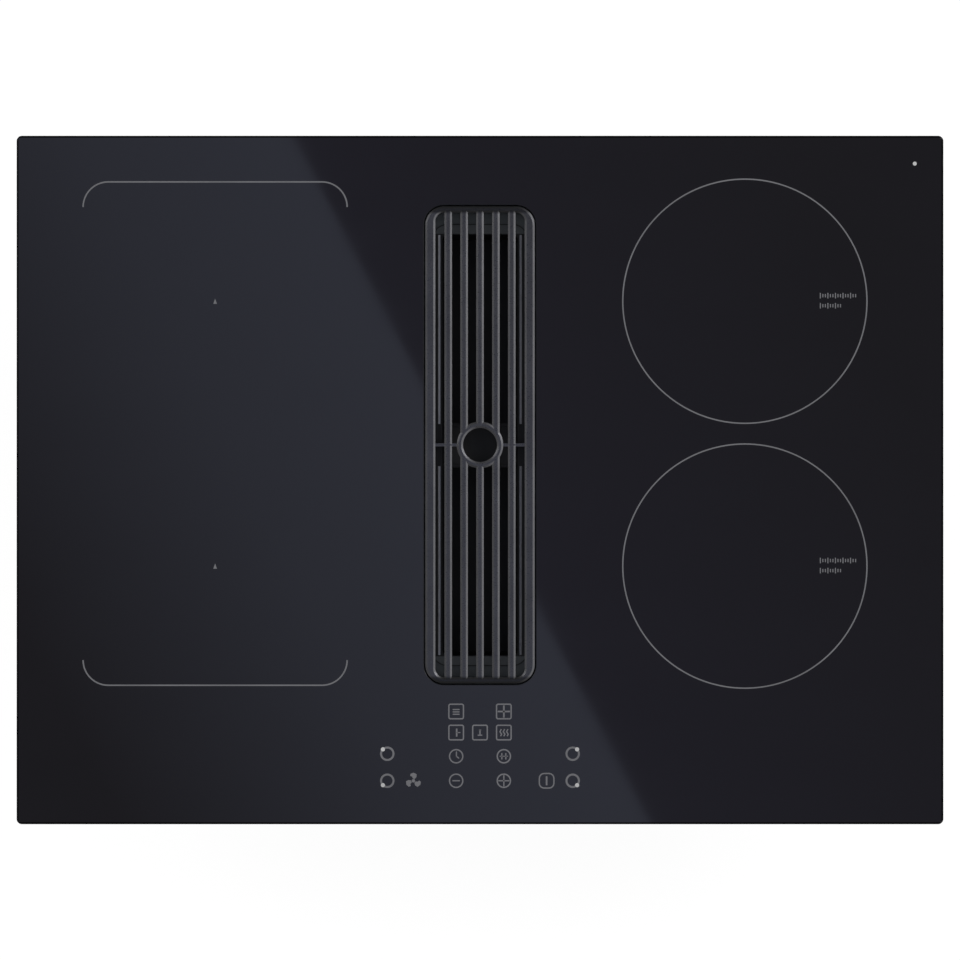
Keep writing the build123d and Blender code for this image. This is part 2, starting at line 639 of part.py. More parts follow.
def board_spots(cx, cy, size_x, size_y):
    """The four standoffs under a circuit board."""
    inset = 2 * BOSS_R
    dx = size_x / 2 - inset
    dy = size_y / 2 - inset
    return [(cx + sx * dx, cy + sy * dy) for sx in (-1, 1) for sy in (-1, 1)]


def all_board_spots():
    """The standoffs of both power boards and of the mains filter board."""
    spots = []
    for side in (-1, 1):
        spots += board_spots(side * BOARD_CX, BOARD_CY, BOARD_X, BOARD_Y)
    return spots + board_spots(MAINS_X, MAINS_Y, MAINS_BOARD_X, MAINS_BOARD_Y)


def pan_flange_spots():
    """Screws that hold the shaft's flange up against the pan."""
    x = SHAFT_X / 2 + SHAFT_FLANGE_W / 2
    dy = SHAFT_Y / 2 - 2 * SHAFT_R
    return [(sx * x, INTAKE_Y + sy * dy) for sx in (-1, 1) for sy in (-1, 0, 1) if (sx, sy) != (1, 0)]


def base_pan():
    """The folded pan: open top, hole for the shaft, fan and outlet vents, board standoffs."""
    pan = slab(PAN_X, PAN_Y, PAN_BOTTOM, PAN_TOP)
    pan -= slab(PAN_X - 2 * PAN_T, PAN_Y - 2 * PAN_T, PAN_FLOOR, PAN_TOP)
    for x, y in all_board_spots():
        pan += flat_sided(BOSS_R, PAN_FLOOR, BOARD_Z, x, y)
    hole_x = SHAFT_X + 2 * PAN_SHAFT_CLEAR
    hole_y = SHAFT_Y + 2 * PAN_SHAFT_CLEAR
    pan -= slab(hole_x, hole_y, PAN_BOTTOM, PAN_FLOOR, SHAFT_R + PAN_SHAFT_CLEAR, 0, INTAKE_Y)
    for x, y in pan_spots():
        for i in range(VENT_COUNT):
            offset = (i - (VENT_COUNT - 1) / 2) * 2 * VENT_W
            reach = 2 * sqrt(FAN_BORE_R**2 - offset**2) - 2 * VENT_W
            pan -= slab(VENT_W, reach, PAN_BOTTOM, PAN_FLOOR, 0, x + offset, y)
    for side in (-1, 1):
        for i in range(VENT_COUNT):
            x = side * BOARD_CX + (i - (VENT_COUNT - 1) / 2) * 4 * VENT_W
            wall_y = -PAN_Y / 2 + PAN_T / 2
            vent_low = PAN_FLOOR + VENT_SILL
            pan -= slab(2 * VENT_W, 2 * PAN_T, vent_low, vent_low + VENT_H, 0, x, wall_y)
    for x, y in pan_flange_spots() + terminal_spots() + block_spots():
        pan -= screw_hole(x, y, PAN_BOTTOM, PAN_FLOOR)
    for side in (-1, 1):
        for y in frame_screw_rows():
            pan -= side_bolt(SCREW_R + SCREW_FIT, side, PAN_X / 2 - 2 * PAN_T, PAN_X / 2, y)
    return pan


def frame_screw_rows():
    """Where the side screws join the pan to the glass frame, front to back."""
    return [-CLAMP_Y + CLAMP_W, 0.0, CLAMP_Y - CLAMP_W]


def side_bolt(radius, side, x0, x1, y):
    """A six-sided bar across the pan's left or right wall, at the height of the frame's screws."""
    z = GLASS_BOTTOM - FRAME_SKIRT / 2 - 2
    low, high = sorted((side * x0, side * x1))
    plane = Plane(origin=(low, y, z), x_dir=(0, 1, 0), z_dir=(1, 0, 0))
    return extrude(plane * RegularPolygon(radius, 6), amount=high - low)


def frame_screws():
    """The six screws through the frame's skirt into the pan."""
    skirt = PAN_X / 2 + FRAME_CLEAR + FRAME_T
    screws = []
    for side in (-1, 1):
        for y in frame_screw_rows():
            head = side_bolt(SCREW_HEAD_R, side, skirt, skirt + SCREW_HEAD_H, y)
            screws.append(head + side_bolt(SCREW_R, side, PAN_X / 2 - PAN_T - 4, skirt, y))
    return screws


# ================================================================ induction zones
def zone_spots():
    """The four cooking zones by name."""
    return {
        "rear_left": (-COIL_X, COIL_Y_REAR),
        "rear_right": (COIL_X, COIL_Y_REAR),
        "front_left": (-COIL_X, COIL_Y_FRONT),
        "front_right": (COIL_X, COIL_Y_FRONT),
    }


def coil(x, y):
    """One flat winding under the glass, as the ring that its turns fill."""
    ring = flat_sided(COIL_R, CARRIER_TOP, COIL_TOP, x, y, ROUND_SIDES)
    return ring - flat_sided(COIL_INNER_R, CARRIER_TOP, COIL_TOP, x, y, PIN_SIDES)


def arm_angles():
    """The directions of a carrier's arms."""
    return [360.0 / CARRIER_ARMS * (i + 0.5) for i in range(CARRIER_ARMS)]


def ferrite_bar(x, y, angle, grow=0.0):
    """One ferrite bar under a carrier arm, or the slot for it when grown by the fit."""
    length = COIL_R - CARRIER_HUB_R - 3 * CARRIER_RIM_W
    middle = (COIL_R + CARRIER_HUB_R) / 2
    bar = Box(length + 2 * grow, FERRITE_W + 2 * grow, FERRITE_H + grow)
    bar = Pos(middle, 0, BRIDGE_TOP + (FERRITE_H + grow) / 2) * bar
    return Pos(x, y, 0) * Rot(0, 0, angle) * bar


def coil_carrier(x, y):
    """The moulded star that carries a winding, slotted below for its ferrite bars."""
    star = flat_sided(COIL_R, BRIDGE_TOP, CARRIER_TOP, x, y, 2 * CARRIER_ARMS)
    star -= flat_sided(COIL_R - CARRIER_RIM_W, BRIDGE_TOP, CARRIER_TOP, x, y, 2 * CARRIER_ARMS)
    star += flat_sided(CARRIER_HUB_R, BRIDGE_TOP, CARRIER_TOP, x, y)
    inner = CARRIER_HUB_R - CARRIER_RIM_W
    outer = COIL_R - CARRIER_RIM_W
    for angle in arm_angles():
        arm = Box(outer - inner, CARRIER_ARM_W, CARRIER_T)
        arm = Pos((outer + inner) / 2, 0, (BRIDGE_TOP + CARRIER_TOP) / 2) * arm
        star += Pos(x, y, 0) * Rot(0, 0, angle) * arm
    for angle in arm_angles():
        star -= ferrite_bar(x, y, angle, FERRITE_FIT)
    return star - flat_sided(SENSOR_R + SENSOR_FIT, BRIDGE_TOP, CARRIER_TOP, x, y)


def ferrite_bars():
    """The ferrite bars of all four zones."""
    return [ferrite_bar(x, y, angle) for x, y in zone_spots().values() for angle in arm_angles()]


def zone_sensors():
    """The temperature sensors that stand in the middle of the windings."""
    return [flat_sided(SENSOR_R, BRIDGE_TOP, COIL_TOP, x, y) for x, y in zone_spots().values()]


def insulation_sheet(side):
    """The mica sheet between two windings and the glass."""
    size_x = 2 * (COIL_R + MICA_MARGIN)
    size_y = ZONE_PITCH + 2 * (COIL_R + MICA_MARGIN)
    middle = (COIL_Y_REAR + COIL_Y_FRONT) / 2
    return slab(size_x, size_y, COIL_TOP, GLASS_BOTTOM, 0, side * COIL_X, middle)


def coil_bridge(side):
    """The aluminium bridge under two windings, on folded legs that stand on the pan."""
    half_x = COIL_R + BRIDGE_MARGIN
    size_y = ZONE_PITCH + 2 * half_x
    middle = (COIL_Y_REAR + COIL_Y_FRONT) / 2
    cx = side * COIL_X
    low = BRIDGE_TOP - BRIDGE_T
    bridge = slab(2 * half_x, size_y, low, BRIDGE_TOP, 0, cx, middle)
    for y in (COIL_Y_REAR, COIL_Y_FRONT):
        for end in (-1, 1):
            hole_x = cx + end * BRIDGE_WINDOW_OUT
            bridge -= flat_sided(BRIDGE_WINDOW_R, low, BRIDGE_TOP, hole_x, y)
    for end in (-1, 1):
        leg_x = cx + end * (half_x - BRIDGE_T / 2)
        foot_x = cx + end * (half_x - BRIDGE_FOOT / 2)
        for step in (-1, 0, 1):
            y = middle + step * size_y / 3
            bridge += slab(BRIDGE_T, 3 * BRIDGE_FOOT, PAN_FLOOR, low, 0, leg_x, y)
            bridge += slab(BRIDGE_FOOT, 3 * BRIDGE_FOOT, PAN_FLOOR, PAN_FLOOR + BRIDGE_T, 0, foot_x, y)
    return bridge


# ================================================================ power electronics and fans
def power_board(side):
    """One inverter board with its capacitors and the connector rail."""
    cx = side * BOARD_CX
    top = BOARD_Z + BOARD_T
    board = slab(BOARD_X, BOARD_Y, BOARD_Z, top, 0, cx, BOARD_CY)
    for i in range(PART_COUNT):
        y = BOARD_CY + (i - (PART_COUNT - 1) / 2) * 4 * PART_R
        x = cx - side * (BOARD_X / 2 - 3 * PART_R)
        board += flat_sided(PART_R, top, top + PART_H, x, y, PIN_SIDES)
    rail_y = BOARD_CY - (BOARD_Y - 3 * PART_R) / 2
    board += slab(SINK_X, PART_R, top, top + PART_H / 2, 0, cx, rail_y)
    return board


def heat_sink(side):
    """The finned heat sink that stands on a power board."""
    low = BOARD_Z + BOARD_T
    cx = side * BOARD_CX
    cy = BOARD_CY + SINK_OFFSET
    sink = slab(SINK_X, SINK_Y, low, low + SINK_BASE, 0, cx, cy)
    for i in range(FIN_COUNT):
        x = cx + (i - (FIN_COUNT - 1) / 2) * (SINK_X - FIN_T) / (FIN_COUNT - 1)
        sink += slab(FIN_T, SINK_Y, low + SINK_BASE, low + SINK_H, 0, x, cy)
    return sink


def fan_housing(side):
    """The square fan frame on the pan's floor, with its struts and motor cup."""
    cx = side * BOARD_CX
    high = PAN_FLOOR + FAN_H
    housing = slab(FAN_SIZE, FAN_SIZE, PAN_FLOOR, high, 0, cx, FAN_Y)
    housing -= flat_sided(FAN_BORE_R, PAN_FLOOR, high, cx, FAN_Y, ROUND_SIDES)
    for angle in FAN_STRUT_ANGLES:
        strut = Box(2 * FAN_BORE_R + FAN_STRUT_W, FAN_STRUT_W, FAN_FLOOR_T)
        strut = Pos(0, 0, PAN_FLOOR + FAN_FLOOR_T / 2) * strut
        housing += Pos(cx, FAN_Y, 0) * Rot(0, 0, angle) * strut
    return housing + flat_sided(FAN_HUB_R, PAN_FLOOR, PAN_FLOOR + FAN_FLOOR_T, cx, FAN_Y, PIN_SIDES)


def fan_rotor(side):
    """The fan's hub and its pitched blades."""
    cx = side * BOARD_CX
    low = PAN_FLOOR + FAN_FLOOR_T + FAN_HUB_GAP
    high = PAN_FLOOR + FAN_H - FAN_TIP_CLEAR
    rotor = flat_sided(FAN_HUB_R, low, high, 0, 0, 2 * FAN_BLADES)
    tip = sqrt((FAN_BORE_R - FAN_TIP_CLEAR) ** 2 - (FAN_CHORD / 2) ** 2)
    root = FAN_HUB_R - FAN_BLADE_ROOT
    length = tip - root
    for i in range(FAN_BLADES):
        blade = Rot(FAN_PITCH, 0, 0) * Box(length, FAN_CHORD, FAN_BLADE_T)
        blade = Pos(root + length / 2, 0, (low + high) / 2) * blade
        rotor += Rot(0, 0, 360.0 / FAN_BLADES * i) * blade
    rotor += rod(FAN_CAP_R, high, high + FAN_CAP_H)
    return Pos(cx, FAN_Y, 0) * rotor


def mains_board():
    """The mains filter board beside the shaft."""
    top = BOARD_Z + BOARD_T
    board = slab(MAINS_BOARD_X, MAINS_BOARD_Y, BOARD_Z, top, 0, MAINS_X, MAINS_Y)
    choke = flat_sided(PART_R, top, top + PART_H, MAINS_X + PART_R, MAINS_Y, PIN_SIDES)
    film = slab(PART_R, 3 * PART_R, top, top + PART_H, 0, MAINS_X - 2 * PART_R, MAINS_Y)
    return board + choke + film


# ================================================================ touch control
def key_spots():
    """The centres of the touch keys, read from the front edge of the glass."""
    front = -GLASS_Y / 2
    column = KEY_COLUMN
    spots = [(sx * column, front + KEY_ROW_TOP) for sx in (-1, 1)]
    spots += [(x, front + KEY_ROW_LEVEL) for x in (-column, 0.0, column)]
    spots += [(sx * column, front + KEY_ROW_TIMER) for sx in (-1, 1)]
    for x in (column, KEY_POWER_X, KEY_ZONE_X):
        spots += [(sx * x, front + KEY_ROW_FRONT) for sx in (-1, 1)]
    return spots + [(sx * KEY_ZONE_X, front + KEY_ROW_TIMER + 2) for sx in (-1, 1)]


def touch_board():
    """The circuit board under the touch keys."""
    low = PANEL_TOP - BOARD_T
    return slab(PANEL_X, PANEL_REAR - PANEL_FRONT, low, PANEL_TOP, 0, 0, PANEL_Y)


def touch_pads():
    """The conductive foam pads between the board and the glass, one under each key."""
    return [slab(KEY_PAD, KEY_PAD, PANEL_TOP, GLASS_BOTTOM, 0, x, y) for x, y in key_spots()]


def touch_tray():
    """The moulded tray that presses the touch board up, on four legs from the pan."""
    size_y = PANEL_REAR - PANEL_FRONT
    high = PANEL_TOP - BOARD_T
    low = high - PANEL_TRAY_T
    tray = slab(PANEL_X, size_y, low, high, 0, 0, PANEL_Y)
    pocket_y = size_y - 2 * PANEL_LEG
    tray -= slab(PANEL_X - 2 * PANEL_LEG, pocket_y, low, high, 3.0, 0, PANEL_Y)
    for sx in (-1, 1):
        for sy in (-1, 1):
            x = sx * (PANEL_X - PANEL_LEG) / 2
            y = PANEL_Y + sy * (size_y - PANEL_LEG) / 2
            tray += slab(PANEL_LEG, PANEL_LEG, PAN_FLOOR, low, 0, x, y)
    return tray


# ================================================================ extractor: shaft and duct
def suction_shaft():
    """The deep moulded tub below the intake, with its flange and the window to the blower."""
    tub = slab(SHAFT_X, SHAFT_Y, SHAFT_BOTTOM, SHAFT_TOP, SHAFT_R, 0, INTAKE_Y)
    flange_x = SHAFT_X + 2 * SHAFT_FLANGE_W
    flange_y = SHAFT_Y + 2 * SHAFT_FLANGE_W
    tub += slab(flange_x, flange_y, PAN_BOTTOM - SHAFT_FLANGE_T, PAN_BOTTOM, 0, 0, INTAKE_Y)
    inner_x = SHAFT_X - 2 * SHAFT_WALL
    inner_y = SHAFT_Y - 2 * SHAFT_WALL
    tub -= slab(inner_x, inner_y, SHAFT_FLOOR, SHAFT_TOP, SHAFT_R - SHAFT_WALL, 0, INTAKE_Y)
    window_w = 2 * (DUCT_R - DUCT_WALL)
    window_high = DUCT_TOP - DUCT_WALL
    tub -= slab(4 * SHAFT_WALL, window_w, COVER_TOP, window_high, 0, SHAFT_X / 2, BLOWER_Y)
    for x, y in pan_flange_spots():
        tub -= screw_hole(x, y, PAN_BOTTOM - SHAFT_FLANGE_T, PAN_BOTTOM)
    return tub


def duct_outline(grow):
    """The duct in plan: straight from the shaft, round about the blower's eye."""
    half = DUCT_R + grow
    straight = BLOWER_X - SHAFT_X / 2
    block = Pos(BLOWER_X - straight / 2, BLOWER_Y) * Rectangle(straight, 2 * half)
    return block + Pos(BLOWER_X, BLOWER_Y) * RegularPolygon(half, WALL_SIDES)


def duct_screw_spots():
    """Screws through the duct's lip into the scroll's cover."""
    reach = DUCT_R + DUCT_LIP / 2
    spots = []
    for angle in DUCT_SCREW_ANGLES:
        x = BLOWER_X + reach * cos(radians(angle))
        spots.append((x, BLOWER_Y + reach * sin(radians(angle))))
    near = SHAFT_X / 2 + 4 * DUCT_LIP
    return spots + [(near, BLOWER_Y + side * reach) for side in (-1, 1)]


def crossover_duct():
    """The flat duct that carries the air from the shaft over to the blower's eye."""
    shell = extrude(Pos(0, 0, COVER_TOP) * duct_outline(0), amount=DUCT_H)
    shell += extrude(Pos(0, 0, COVER_TOP) * duct_outline(DUCT_LIP), amount=DUCT_WALL)
    shell -= extrude(Pos(0, 0, COVER_TOP) * duct_outline(-DUCT_WALL), amount=DUCT_H - DUCT_WALL)
    for x, y in duct_screw_spots():
        shell -= screw_hole(x, y, COVER_TOP, COVER_TOP + DUCT_WALL)
    return shell


# ================================================================ extractor: blower
def scroll_radius(angle):
    """The scroll's inside radius at an angle in degrees from the tongue round to the outlet."""
    share = (angle - SCROLL_TONGUE) / (360.0 - SCROLL_TONGUE)
    return SCROLL_R0 * (SCROLL_R1 / SCROLL_R0) ** share


def scroll_point(angle, grow):
    """A point of the scroll in plan, with the wall grown outwards."""
    radius = scroll_radius(angle) + grow
    return (radius * cos(radians(angle)), radius * sin(radians(angle)))


def scroll_outline(grow):
    """The scroll in plan about the blower's axis, with its outlet channel."""
    step = (360.0 - SCROLL_TONGUE) / SCROLL_STEPS
    rim = [scroll_point(SCROLL_TONGUE + i * step, grow) for i in range(SCROLL_STEPS + 1)]
    spiral = make_face(Polyline(*rim, close=True))
    width = SCROLL_R1 + grow - (TONGUE_X - grow)
    channel_x = (SCROLL_R1 + TONGUE_X) / 2
    channel = Pos(channel_x, SCROLL_OUTLET / 2) * Rectangle(width, SCROLL_OUTLET)
    return Pos(BLOWER_X, BLOWER_Y) * (spiral + channel)


def scroll_block(grow, low, high):
    """The scroll's outline raised between two heights."""
    return extrude(Pos(0, 0, low) * scroll_outline(grow), amount=high - low)


def scroll_screw_spots():
    """Screws round the scroll's lip, which hold its cover down."""
    reach = SCROLL_WALL + SCROLL_LIP / 2
    spots = []
    for i in range(SCROLL_RIBS):
        x, y = scroll_point(SCROLL_SCREW_1 + i * SCROLL_SCREW_STEP, reach)
        spots.append((BLOWER_X + x, BLOWER_Y + y))
    return spots + [(BLOWER_X + SCROLL_R1 + reach, BLOWER_Y + SCROLL_OUTLET / 2)]


def scroll_cover():
    """The plate over the scroll, with the bell-mouthed eye the air is drawn in through."""
    plate = scroll_block(SCROLL_WALL + SCROLL_LIP, COVER_BOTTOM, COVER_TOP)
    plate += extrude(Pos(0, 0, COVER_BOTTOM) * duct_outline(DUCT_LIP), amount=COVER_T)
    plate = plate & slab(
        2 * PAN_X, 2 * PAN_Y, COVER_BOTTOM, COVER_TOP, 0, SHAFT_X / 2 + PAN_X, OUTLET_Y - PAN_Y
    )
    neck_low = COVER_BOTTOM - EYE_NECK
    neck_r = EYE_R + COVER_T
    plate += flat_sided(neck_r, neck_low, COVER_BOTTOM, BLOWER_X, BLOWER_Y, WALL_SIDES)
    plate -= flat_sided(EYE_R, neck_low, COVER_TOP, BLOWER_X, BLOWER_Y, WALL_SIDES)
    mouth = plate.faces().sort_by(Axis.Z)[-1].inner_wires()[0].edges()
    plate = chamfer(mouth, EYE_MOUTH)
    for x, y in scroll_screw_spots():
        plate -= screw_hole(x, y, COVER_BOTTOM, COVER_TOP)
    return plate


def motor_spots():
    """The motor's three ears."""
    reach = MOTOR_R + MOTOR_EAR_R / 2
    spots = []
    for angle in MOTOR_EAR_ANGLES:
        x = BLOWER_X + reach * cos(radians(angle))
        spots.append((x, BLOWER_Y + reach * sin(radians(angle))))
    return spots


def outlet_ring(thick, y, low, high, grow):
    """An upright plate round the outlet channel, standing across the flow."""
    x0 = BLOWER_X + TONGUE_X - grow
    x1 = BLOWER_X + SCROLL_R1 + grow
    return slab(x1 - x0, thick, low, high, 0, (x0 + x1) / 2, y)


def scroll_casing():
    """The moulded scroll: spiral wall, floor, lip, stiffening ribs and outlet flange."""
    casing = scroll_block(SCROLL_WALL, SCROLL_BOTTOM, COVER_BOTTOM)
    casing += scroll_block(SCROLL_WALL + SCROLL_LIP, COVER_BOTTOM - SCROLL_LIP_T, COVER_BOTTOM)
    flange_y = OUTLET_Y - OUTLET_FLANGE_T / 2
    flange_low = SCROLL_BOTTOM - SCROLL_LIP
    grow = SCROLL_WALL + SCROLL_LIP
    casing += outlet_ring(OUTLET_FLANGE_T, flange_y, flange_low, COVER_BOTTOM, grow)
    for i in range(SCROLL_RIBS):
        angle = SCROLL_SCREW_1 + (i + 0.5) * SCROLL_SCREW_STEP
        root = scroll_radius(angle)
        rib = Box(grow - 2, SCROLL_RIB_T, SCROLL_H + SCROLL_WALL)
        rib = Pos(root + grow / 2, 0, (SCROLL_BOTTOM + COVER_BOTTOM) / 2) * rib
        casing += Pos(BLOWER_X, BLOWER_Y, 0) * Rot(0, 0, angle) * rib
    casing -= scroll_block(0, SCROLL_FLOOR, COVER_BOTTOM)
    hole_r = MOTOR_SPIGOT_R + 1
    casing -= flat_sided(hole_r, SCROLL_BOTTOM, SCROLL_FLOOR, BLOWER_X, BLOWER_Y, PIN_SIDES)
    for x, y in motor_spots():
        casing += flat_sided(POST_R, SCROLL_FLOOR, SCROLL_FLOOR + 2, x, y)
        casing -= screw_hole(x, y, SCROLL_BOTTOM, SCROLL_FLOOR + 2)
    for x, y in scroll_screw_spots():
        casing -= screw_hole(x, y, COVER_BOTTOM - SCROLL_LIP_T, COVER_BOTTOM)
    return casing


def blade_section():
    """One forward-curved blade in plan, about the impeller's axis."""
    inner = IMPELLER_INNER_R
    outer = IMPELLER_R - BLADE_T
    middle = (inner + outer) / 2
    bend = [(inner, 0.0), (middle, BLADE_BEND), (outer, BLADE_TIP_BEND)]
    thick = degrees(BLADE_T / middle)
    front = [(r * cos(radians(a)), r * sin(radians(a))) for r, a in bend]
    back = [(r * cos(radians(a + thick)), r * sin(radians(a + thick))) for r, a in reversed(bend)]
    return make_face(Polyline(*front, *back, close=True))


def impeller():
    """The squirrel-cage impeller: back plate, tapered hub, blades and the ring that ties them."""
    top = IMPELLER_BOTTOM + IMPELLER_H
    plate_top = IMPELLER_BOTTOM + IMPELLER_PLATE_T
    ring_low = top - IMPELLER_RING_T
    sides = IMPELLER_BLADES
    wheel = flat_sided(IMPELLER_R, IMPELLER_BOTTOM, plate_top, 0, 0, sides)
    taper = degrees(atan((HUB_R - HUB_TOP_R) / HUB_H))
    foot = Pos(0, 0, plate_top) * RegularPolygon(HUB_R, IMPELLER_BLADES)
    wheel += extrude(foot, amount=HUB_H, taper=taper)
    ring = flat_sided(IMPELLER_R, ring_low, top, 0, 0, sides)
    ring -= flat_sided(IMPELLER_R - IMPELLER_RING_W, ring_low, top, 0, 0, sides)
    blade = extrude(Pos(0, 0, plate_top) * blade_section(), amount=ring_low - plate_top)
    for i in range(IMPELLER_BLADES):
        wheel += Rot(0, 0, 360.0 / IMPELLER_BLADES * i) * blade
    wheel += ring
    wheel -= rod(SPINDLE_R + HUB_FIT, IMPELLER_BOTTOM, top)
    return Pos(BLOWER_X, BLOWER_Y, 0) * wheel


def motor_spindle():
    """The steel spindle from the motor up through the impeller's hub."""
    low = MOTOR_TOP - SPINDLE_GRIP
    high = IMPELLER_BOTTOM + IMPELLER_PLATE_T + HUB_H + SPINDLE_PROUD
    return rod(SPINDLE_R, low, high, BLOWER_X, BLOWER_Y)


def blower_motor():
    """The motor below the scroll, on three ears, with cooling slots round its can."""
    can = flat_sided(MOTOR_R, SHAFT_BOTTOM, MOTOR_TOP, BLOWER_X, BLOWER_Y, WALL_SIDES)
    ear_low = MOTOR_TOP - MOTOR_EAR_T
    for x, y in motor_spots():
        can += flat_sided(MOTOR_EAR_R, ear_low, MOTOR_TOP, x, y)
    spigot_top = SCROLL_FLOOR - 1
    can += flat_sided(MOTOR_SPIGOT_R, MOTOR_TOP, spigot_top, BLOWER_X, BLOWER_Y, PIN_SIDES)
    for i in range(MOTOR_SLOTS):
        slot = Box(2 * MOTOR_SLOT_DEPTH, MOTOR_SLOT_W, MOTOR_SLOT_H)
        slot = Pos(MOTOR_R, 0, (SHAFT_BOTTOM + ear_low) / 2) * slot
        can -= Pos(BLOWER_X, BLOWER_Y, 0) * Rot(0, 0, 360.0 / MOTOR_SLOTS * i) * slot
    bore_low = MOTOR_TOP - SPINDLE_GRIP
    can -= rod(SPINDLE_R + SPINDLE_FIT, bore_low, SCROLL_FLOOR, BLOWER_X, BLOWER_Y)
    for x, y in motor_spots():
        can -= screw_hole(x, y, ear_low, MOTOR_TOP)
    return can


def motor_bushes():
    """The rubber bushes between the motor's ears and the scroll."""
    bushes = []
    for x, y in motor_spots():
        bush = flat_sided(BUSH_R, MOTOR_TOP, SCROLL_BOTTOM, x, y)
        bushes.append(bush - screw_hole(x, y, MOTOR_TOP, SCROLL_BOTTOM))
    return bushes


# ================================================================ extractor: outlet and flaps
def upright(size_x, size_z, y, cx, cz, corner=0.0):
    """A flat rectangle standing across the flow, facing the back."""
    plane = Plane(origin=(cx, y, cz), x_dir=(-1, 0, 0), z_dir=(0, 1, 0))
    outline = RectangleRounded(size_x, size_z, corner) if corner else Rectangle(size_x, size_z)
    return plane * outline


def flow_block(size_x, size_z, y0, y1, cx, cz, corner=0.0):
    """A block along the flow between two planes across it."""
    return extrude(upright(size_x, size_z, y0, cx, cz, corner), amount=y1 - y0)


def diffuser_solid(grow):
    """The widening passage from the scroll's outlet to the spigot, grown by the wall."""
    mouth_x = (BLOWER_X + TONGUE_X - grow, BLOWER_X + SCROLL_R1 + grow)
    seam_x = (SPIGOT_CX - SPIGOT_IN_X / 2 - grow, SPIGOT_CX + SPIGOT_IN_X / 2 + grow)
    mouth_z = (SCROLL_FLOOR - grow, COVER_BOTTOM + grow)
    seam_z = (SPIGOT_CZ - SPIGOT_IN_Z / 2 - grow, SPIGOT_CZ + SPIGOT_IN_Z / 2 + grow)
    plan = [
        (mouth_x[0], OUTLET_Y),
        (mouth_x[1], OUTLET_Y),
        (seam_x[1], SPIGOT_START),
        (seam_x[0], SPIGOT_START),
    ]
    profile = [
        (OUTLET_Y, mouth_z[0]),
        (SPIGOT_START, seam_z[0]),
        (SPIGOT_START, seam_z[1]),
        (OUTLET_Y, mouth_z[1]),
    ]
    return polygon_prism(plan, seam_z[0], seam_z[1]) & cross_prism(profile, seam_x[0], mouth_x[1])


def flap_levels():
    """The hinge line, and the top and bottom of each flap, as offsets from the spigot's middle."""
    half = SPIGOT_IN_Z / 2
    return {
        "upper": (half - FLAP_PIN_DROP, FLAP_FOOT_CLEAR),
        "lower": (-FLAP_PIN_DROP, FLAP_FOOT_CLEAR - half),
    }


def outlet_spigot():
    """The diffuser and the flat spigot in one moulding, with the seat for the two flaps."""
    body = diffuser_solid(SPIGOT_WALL)
    body += flow_block(SPIGOT_X, SPIGOT_Z, SPIGOT_START, SPIGOT_END, SPIGOT_CX, SPIGOT_CZ, SPIGOT_R)
    grow = SCROLL_WALL + SCROLL_LIP
    flange_y = OUTLET_Y + OUTLET_FLANGE_T / 2
    flange_low = SCROLL_BOTTOM - SCROLL_LIP
    flange_high = COVER_TOP + SCROLL_LIP
    body += outlet_ring(OUTLET_FLANGE_T, flange_y, flange_low, flange_high, grow)
    body -= diffuser_solid(0)
    body -= flow_block(SPIGOT_IN_X, SPIGOT_IN_Z, SPIGOT_START, SPIGOT_END, SPIGOT_CX, SPIGOT_CZ)
    seat_y = SPIGOT_START + FLAP_FROM_SEAM
    seat = flow_block(SPIGOT_IN_X, SPIGOT_IN_Z, seat_y, seat_y + FLAP_SEAT_T, SPIGOT_CX, SPIGOT_CZ)
    for half in (-1, 1):
        open_z = (SPIGOT_IN_Z - 3 * FLAP_SEAT) / 2
        cz = SPIGOT_CZ + half * (SPIGOT_IN_Z / 4 - FLAP_SEAT / 4)
        opening_x = SPIGOT_IN_X - 2 * FLAP_SEAT
        seat -= flow_block(opening_x, open_z, seat_y, seat_y + FLAP_SEAT_T, SPIGOT_CX, cz)
    body += seat
    bore = (FLAP_PIN_R + FLAP_PIN_FIT) / cos(radians(180 / PIN_SIDES))  # across the flats
    for hinge, _ in flap_levels().values():
        hole = RegularPolygon(bore, PIN_SIDES)
        body -= along_hinge(hole, SPIGOT_X + 2, SPIGOT_CZ + hinge)
    return body


def along_hinge(outline, length, z):
    """A bar on the given outline across the spigot, on a flap's hinge line."""
    plane = Plane(origin=(SPIGOT_CX - length / 2, FLAP_Y, z), x_dir=(0, 1, 0), z_dir=(1, 0, 0))
    return extrude(plane * outline, amount=length)


def outlet_flap(level):
    """A backflow flap: a thin leaf hanging from the pin moulded along its top edge."""
    hinge, foot = flap_levels()[level]
    z_pin = SPIGOT_CZ + hinge
    leaf_x = SPIGOT_IN_X - 2 * FLAP_SIDE_CLEAR
    low = SPIGOT_CZ + foot
    leaf_y = FLAP_Y - FLAP_PIN_R
    leaf = flow_block(leaf_x, z_pin - low, leaf_y, leaf_y + FLAP_T, SPIGOT_CX, (z_pin + low) / 2)
    for x in (-1, 0, 1):
        rib_x = SPIGOT_CX + x * leaf_x / 3
        rib_h = z_pin - low - 2 * FLAP_RIB_GAP
        rib_z = (z_pin + low) / 2
        leaf += flow_block(FLAP_T, rib_h, leaf_y, leaf_y + 2 * FLAP_T, rib_x, rib_z)
    return leaf + along_hinge(Circle(FLAP_PIN_R), SPIGOT_X - 2 * FLAP_PIN_END, z_pin)


# ================================================================ worktop clamps
def clamp_spots():
    """The four clamps by name, with the side of the pan each is on."""
    return {
        "rear_left": (-1, CLAMP_Y),
        "rear_right": (1, CLAMP_Y),
        "front_left": (-1, -CLAMP_Y),
        "front_right": (1, -CLAMP_Y),
    }


